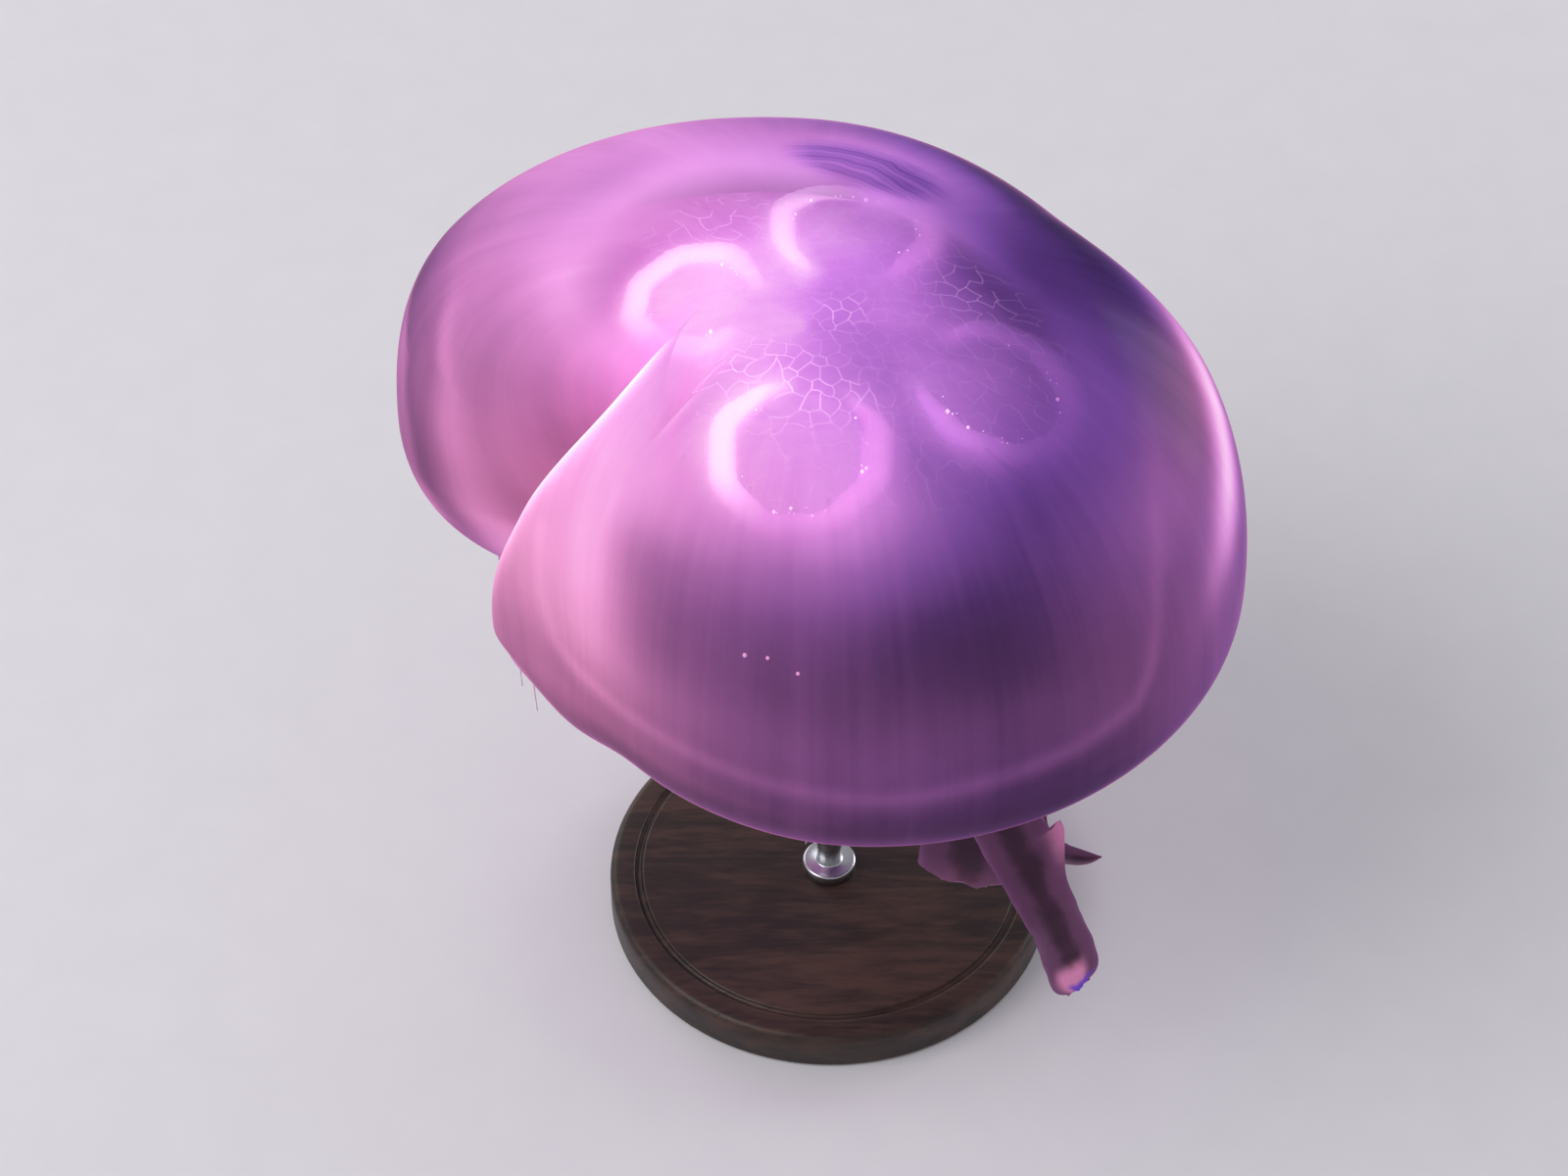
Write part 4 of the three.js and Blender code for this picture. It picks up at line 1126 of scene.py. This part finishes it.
# A rosy painted highlight at the first arm's tip and pointed corner, and faintly at the other tips.
edged = (glow * (0.5 + lens_rings_and_arm_folds)).smooth(0.0, 1.1).blend(edged, tint(222, 138, 184))
edged = paint.attribute("cold").blend(edged, tint(112, 66, 196))
# The flesh's emission is a painted glow.
edged.into("Base Color", "Emission Color")
(paint.attribute("solid") + 0.15 * rim**6.0 + 0.3 * glow).into("Alpha")
lens_rings_and_arm_folds.relief(0.2, 0.0008)
for number, arm in enumerate(ARMS, start=1):
    points, faces, (rim_field, highlight_field, cold_field) = arm_skin(arm, seed=1.7 * number)
    skin = make_piece(
        f"oral_arm_{number}_skin", points, faces, [flesh], rim=rim_field, glow=highlight_field,
        cold=cold_field, solid=np.full(len(points), arm.solid),
    )
    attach(skin, "root")
    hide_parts(f"oral_arm_{number}_upper", f"oral_arm_{number}_lower")

MOUTH_ROWS, MOUTH_SIDES = 26, 72
MOUTH_GAP = 0.0004              # the stalk starts this far under the stomach's floor
turn = np.linspace(0, 2 * math.pi, MOUTH_SIDES, endpoint=False)[None]
share = np.linspace(0, 1, MOUTH_ROWS)[:, None]
radius = (MOUTH_NECK + (MOUTH_LIP - MOUTH_NECK) * share**2) * (1 + 0.35 * (1 - share) ** 3)
corners = 4 * (np.degrees(turn) - ARMS[0].root)
radius = radius * (1 + MOUTH_CORNER * np.cos(np.radians(corners)))
radius = radius * (1 - 0.55 * smooth_step(share, 0.93, 1.0))    # the lips turn in
x, y = radius * np.cos(turn), radius * np.sin(turn)
height = (floor_over(x, y) - MOUTH_GAP) * (1 - share) + MOUTH_BOTTOM * share
stalk = np.stack([x, y, height], axis=-1)
top = [0, 0, floor_over(np.zeros(1), np.zeros(1))[0] - MOUTH_GAP]
mouth_points = np.concatenate([stalk.reshape(-1, 3), [top, [0, 0, MOUTH_BOTTOM - 0.001]]])
mouth_faces = closed_faces(MOUTH_ROWS, MOUTH_SIDES, turned_over=True)
stalk_look, paint = finish("mouth_flesh", Roughness=0.4, Sheen_Weight=0.5, Sheen_Roughness=0.4)
pleats = paint.noise(paint.place((1.0, 1.0, 0.25)), 240.0, 4.0, 0.6)
pleats.smooth(0.35, 0.7).blend(tint(126, 74, 134), tint(196, 132, 190)).into("Base Color")
pleats.relief(0.35, 0.0008)
mouth = make_piece("mouth_stalk", mouth_points, mouth_faces, [stalk_look])
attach(mouth, "root")
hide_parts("mouth")

# ---- Floor, light and camera ------------------------------------------------------------------
# A plain pale floor, a wide soft light from the upper left, weaker ones from the right and from
# behind, an even pale sky, and a camera that looks down on the animal from the front.
FLOOR_HALF = 3.0
floor_corners = [(FLOOR_HALF * x, FLOOR_HALF * y, 0) for x, y in ((-1, -1), (1, -1), (1, 1), (-1, 1))]
floor_mesh = bpy.data.meshes.new("floor")
floor_mesh.from_pydata(floor_corners, [], [(0, 1, 2, 3)])
floor = bpy.data.objects.new("floor", floor_mesh)
bpy.context.scene.collection.objects.link(floor)
pale, paint = finish("pale_floor", Roughness=0.85, Specular_IOR_Level=0.2)
speckle = paint.noise(paint.place(), 60.0, 4.0)
speckle.blend(tint(226, 226, 230), tint(232, 232, 235)).into("Base Color")
floor_mesh.materials.append(pale)


def soft_light(name, place, target, size, power, shade):
    """A square area light of that size and power at place, facing target."""
    data = bpy.data.lights.new(name, "AREA")
    data.size = size
    data.energy = power
    data.color = shade
    lamp = bpy.data.objects.new(name, data)
    bpy.context.scene.collection.objects.link(lamp)
    lamp.location = place
    lamp.rotation_euler = (Vector(target) - Vector(place)).to_track_quat("-Z", "Y").to_euler()


bell_middle = (BELL_X, BELL_Y, GIRTH_Z)
soft_light("soft_left", (-1.1, -0.5, 1.4), bell_middle, 1.2, 15.0, (1.0, 0.97, 0.98))
soft_light("soft_right", (1.3, 0.9, 0.35), bell_middle, 0.8, 9.0, (1.0, 0.95, 0.99))
soft_light("soft_back", (-0.9, 1.3, 0.7), bell_middle, 1.0, 5.0, (1.0, 0.96, 1.0))
sky = bpy.data.worlds.new("pale_sky")
sky.use_nodes = True
background = sky.node_tree.nodes["Background"]
background.inputs["Color"].default_value = (0.93, 0.93, 0.96, 1.0)
background.inputs["Strength"].default_value = 0.45
bpy.context.scene.world = sky
bpy.context.scene.view_settings.view_transform = "Standard"

VIEW_ELEVATION = math.radians(46.2)
VIEW_DISTANCE = 1.1
GIRTH_ACROSS = 0.515            # the girth's mean diameter, as a share of the picture's width
AIM_RIGHT, AIM_UP = -0.00579, -0.01787      # from the girth's middle, in the picture's plane
SENSOR = 36.0
camera_data = bpy.data.cameras.new("camera")
camera_data.sensor_width = SENSOR
camera_data.lens = SENSOR * GIRTH_ACROSS * VIEW_DISTANCE / (2 * GIRTH)
camera = bpy.data.objects.new("camera", camera_data)
bpy.context.scene.collection.objects.link(camera)
back = Vector((0, -math.cos(VIEW_ELEVATION), math.sin(VIEW_ELEVATION)))
up = Vector((0, math.sin(VIEW_ELEVATION), math.cos(VIEW_ELEVATION)))
aim = Vector(bell_middle) + Vector((1, 0, 0)) * AIM_RIGHT + up * AIM_UP
camera.location = aim + back * VIEW_DISTANCE
camera.rotation_euler = (-back).to_track_quat("-Z", "Y").to_euler()
bpy.context.scene.camera = camera
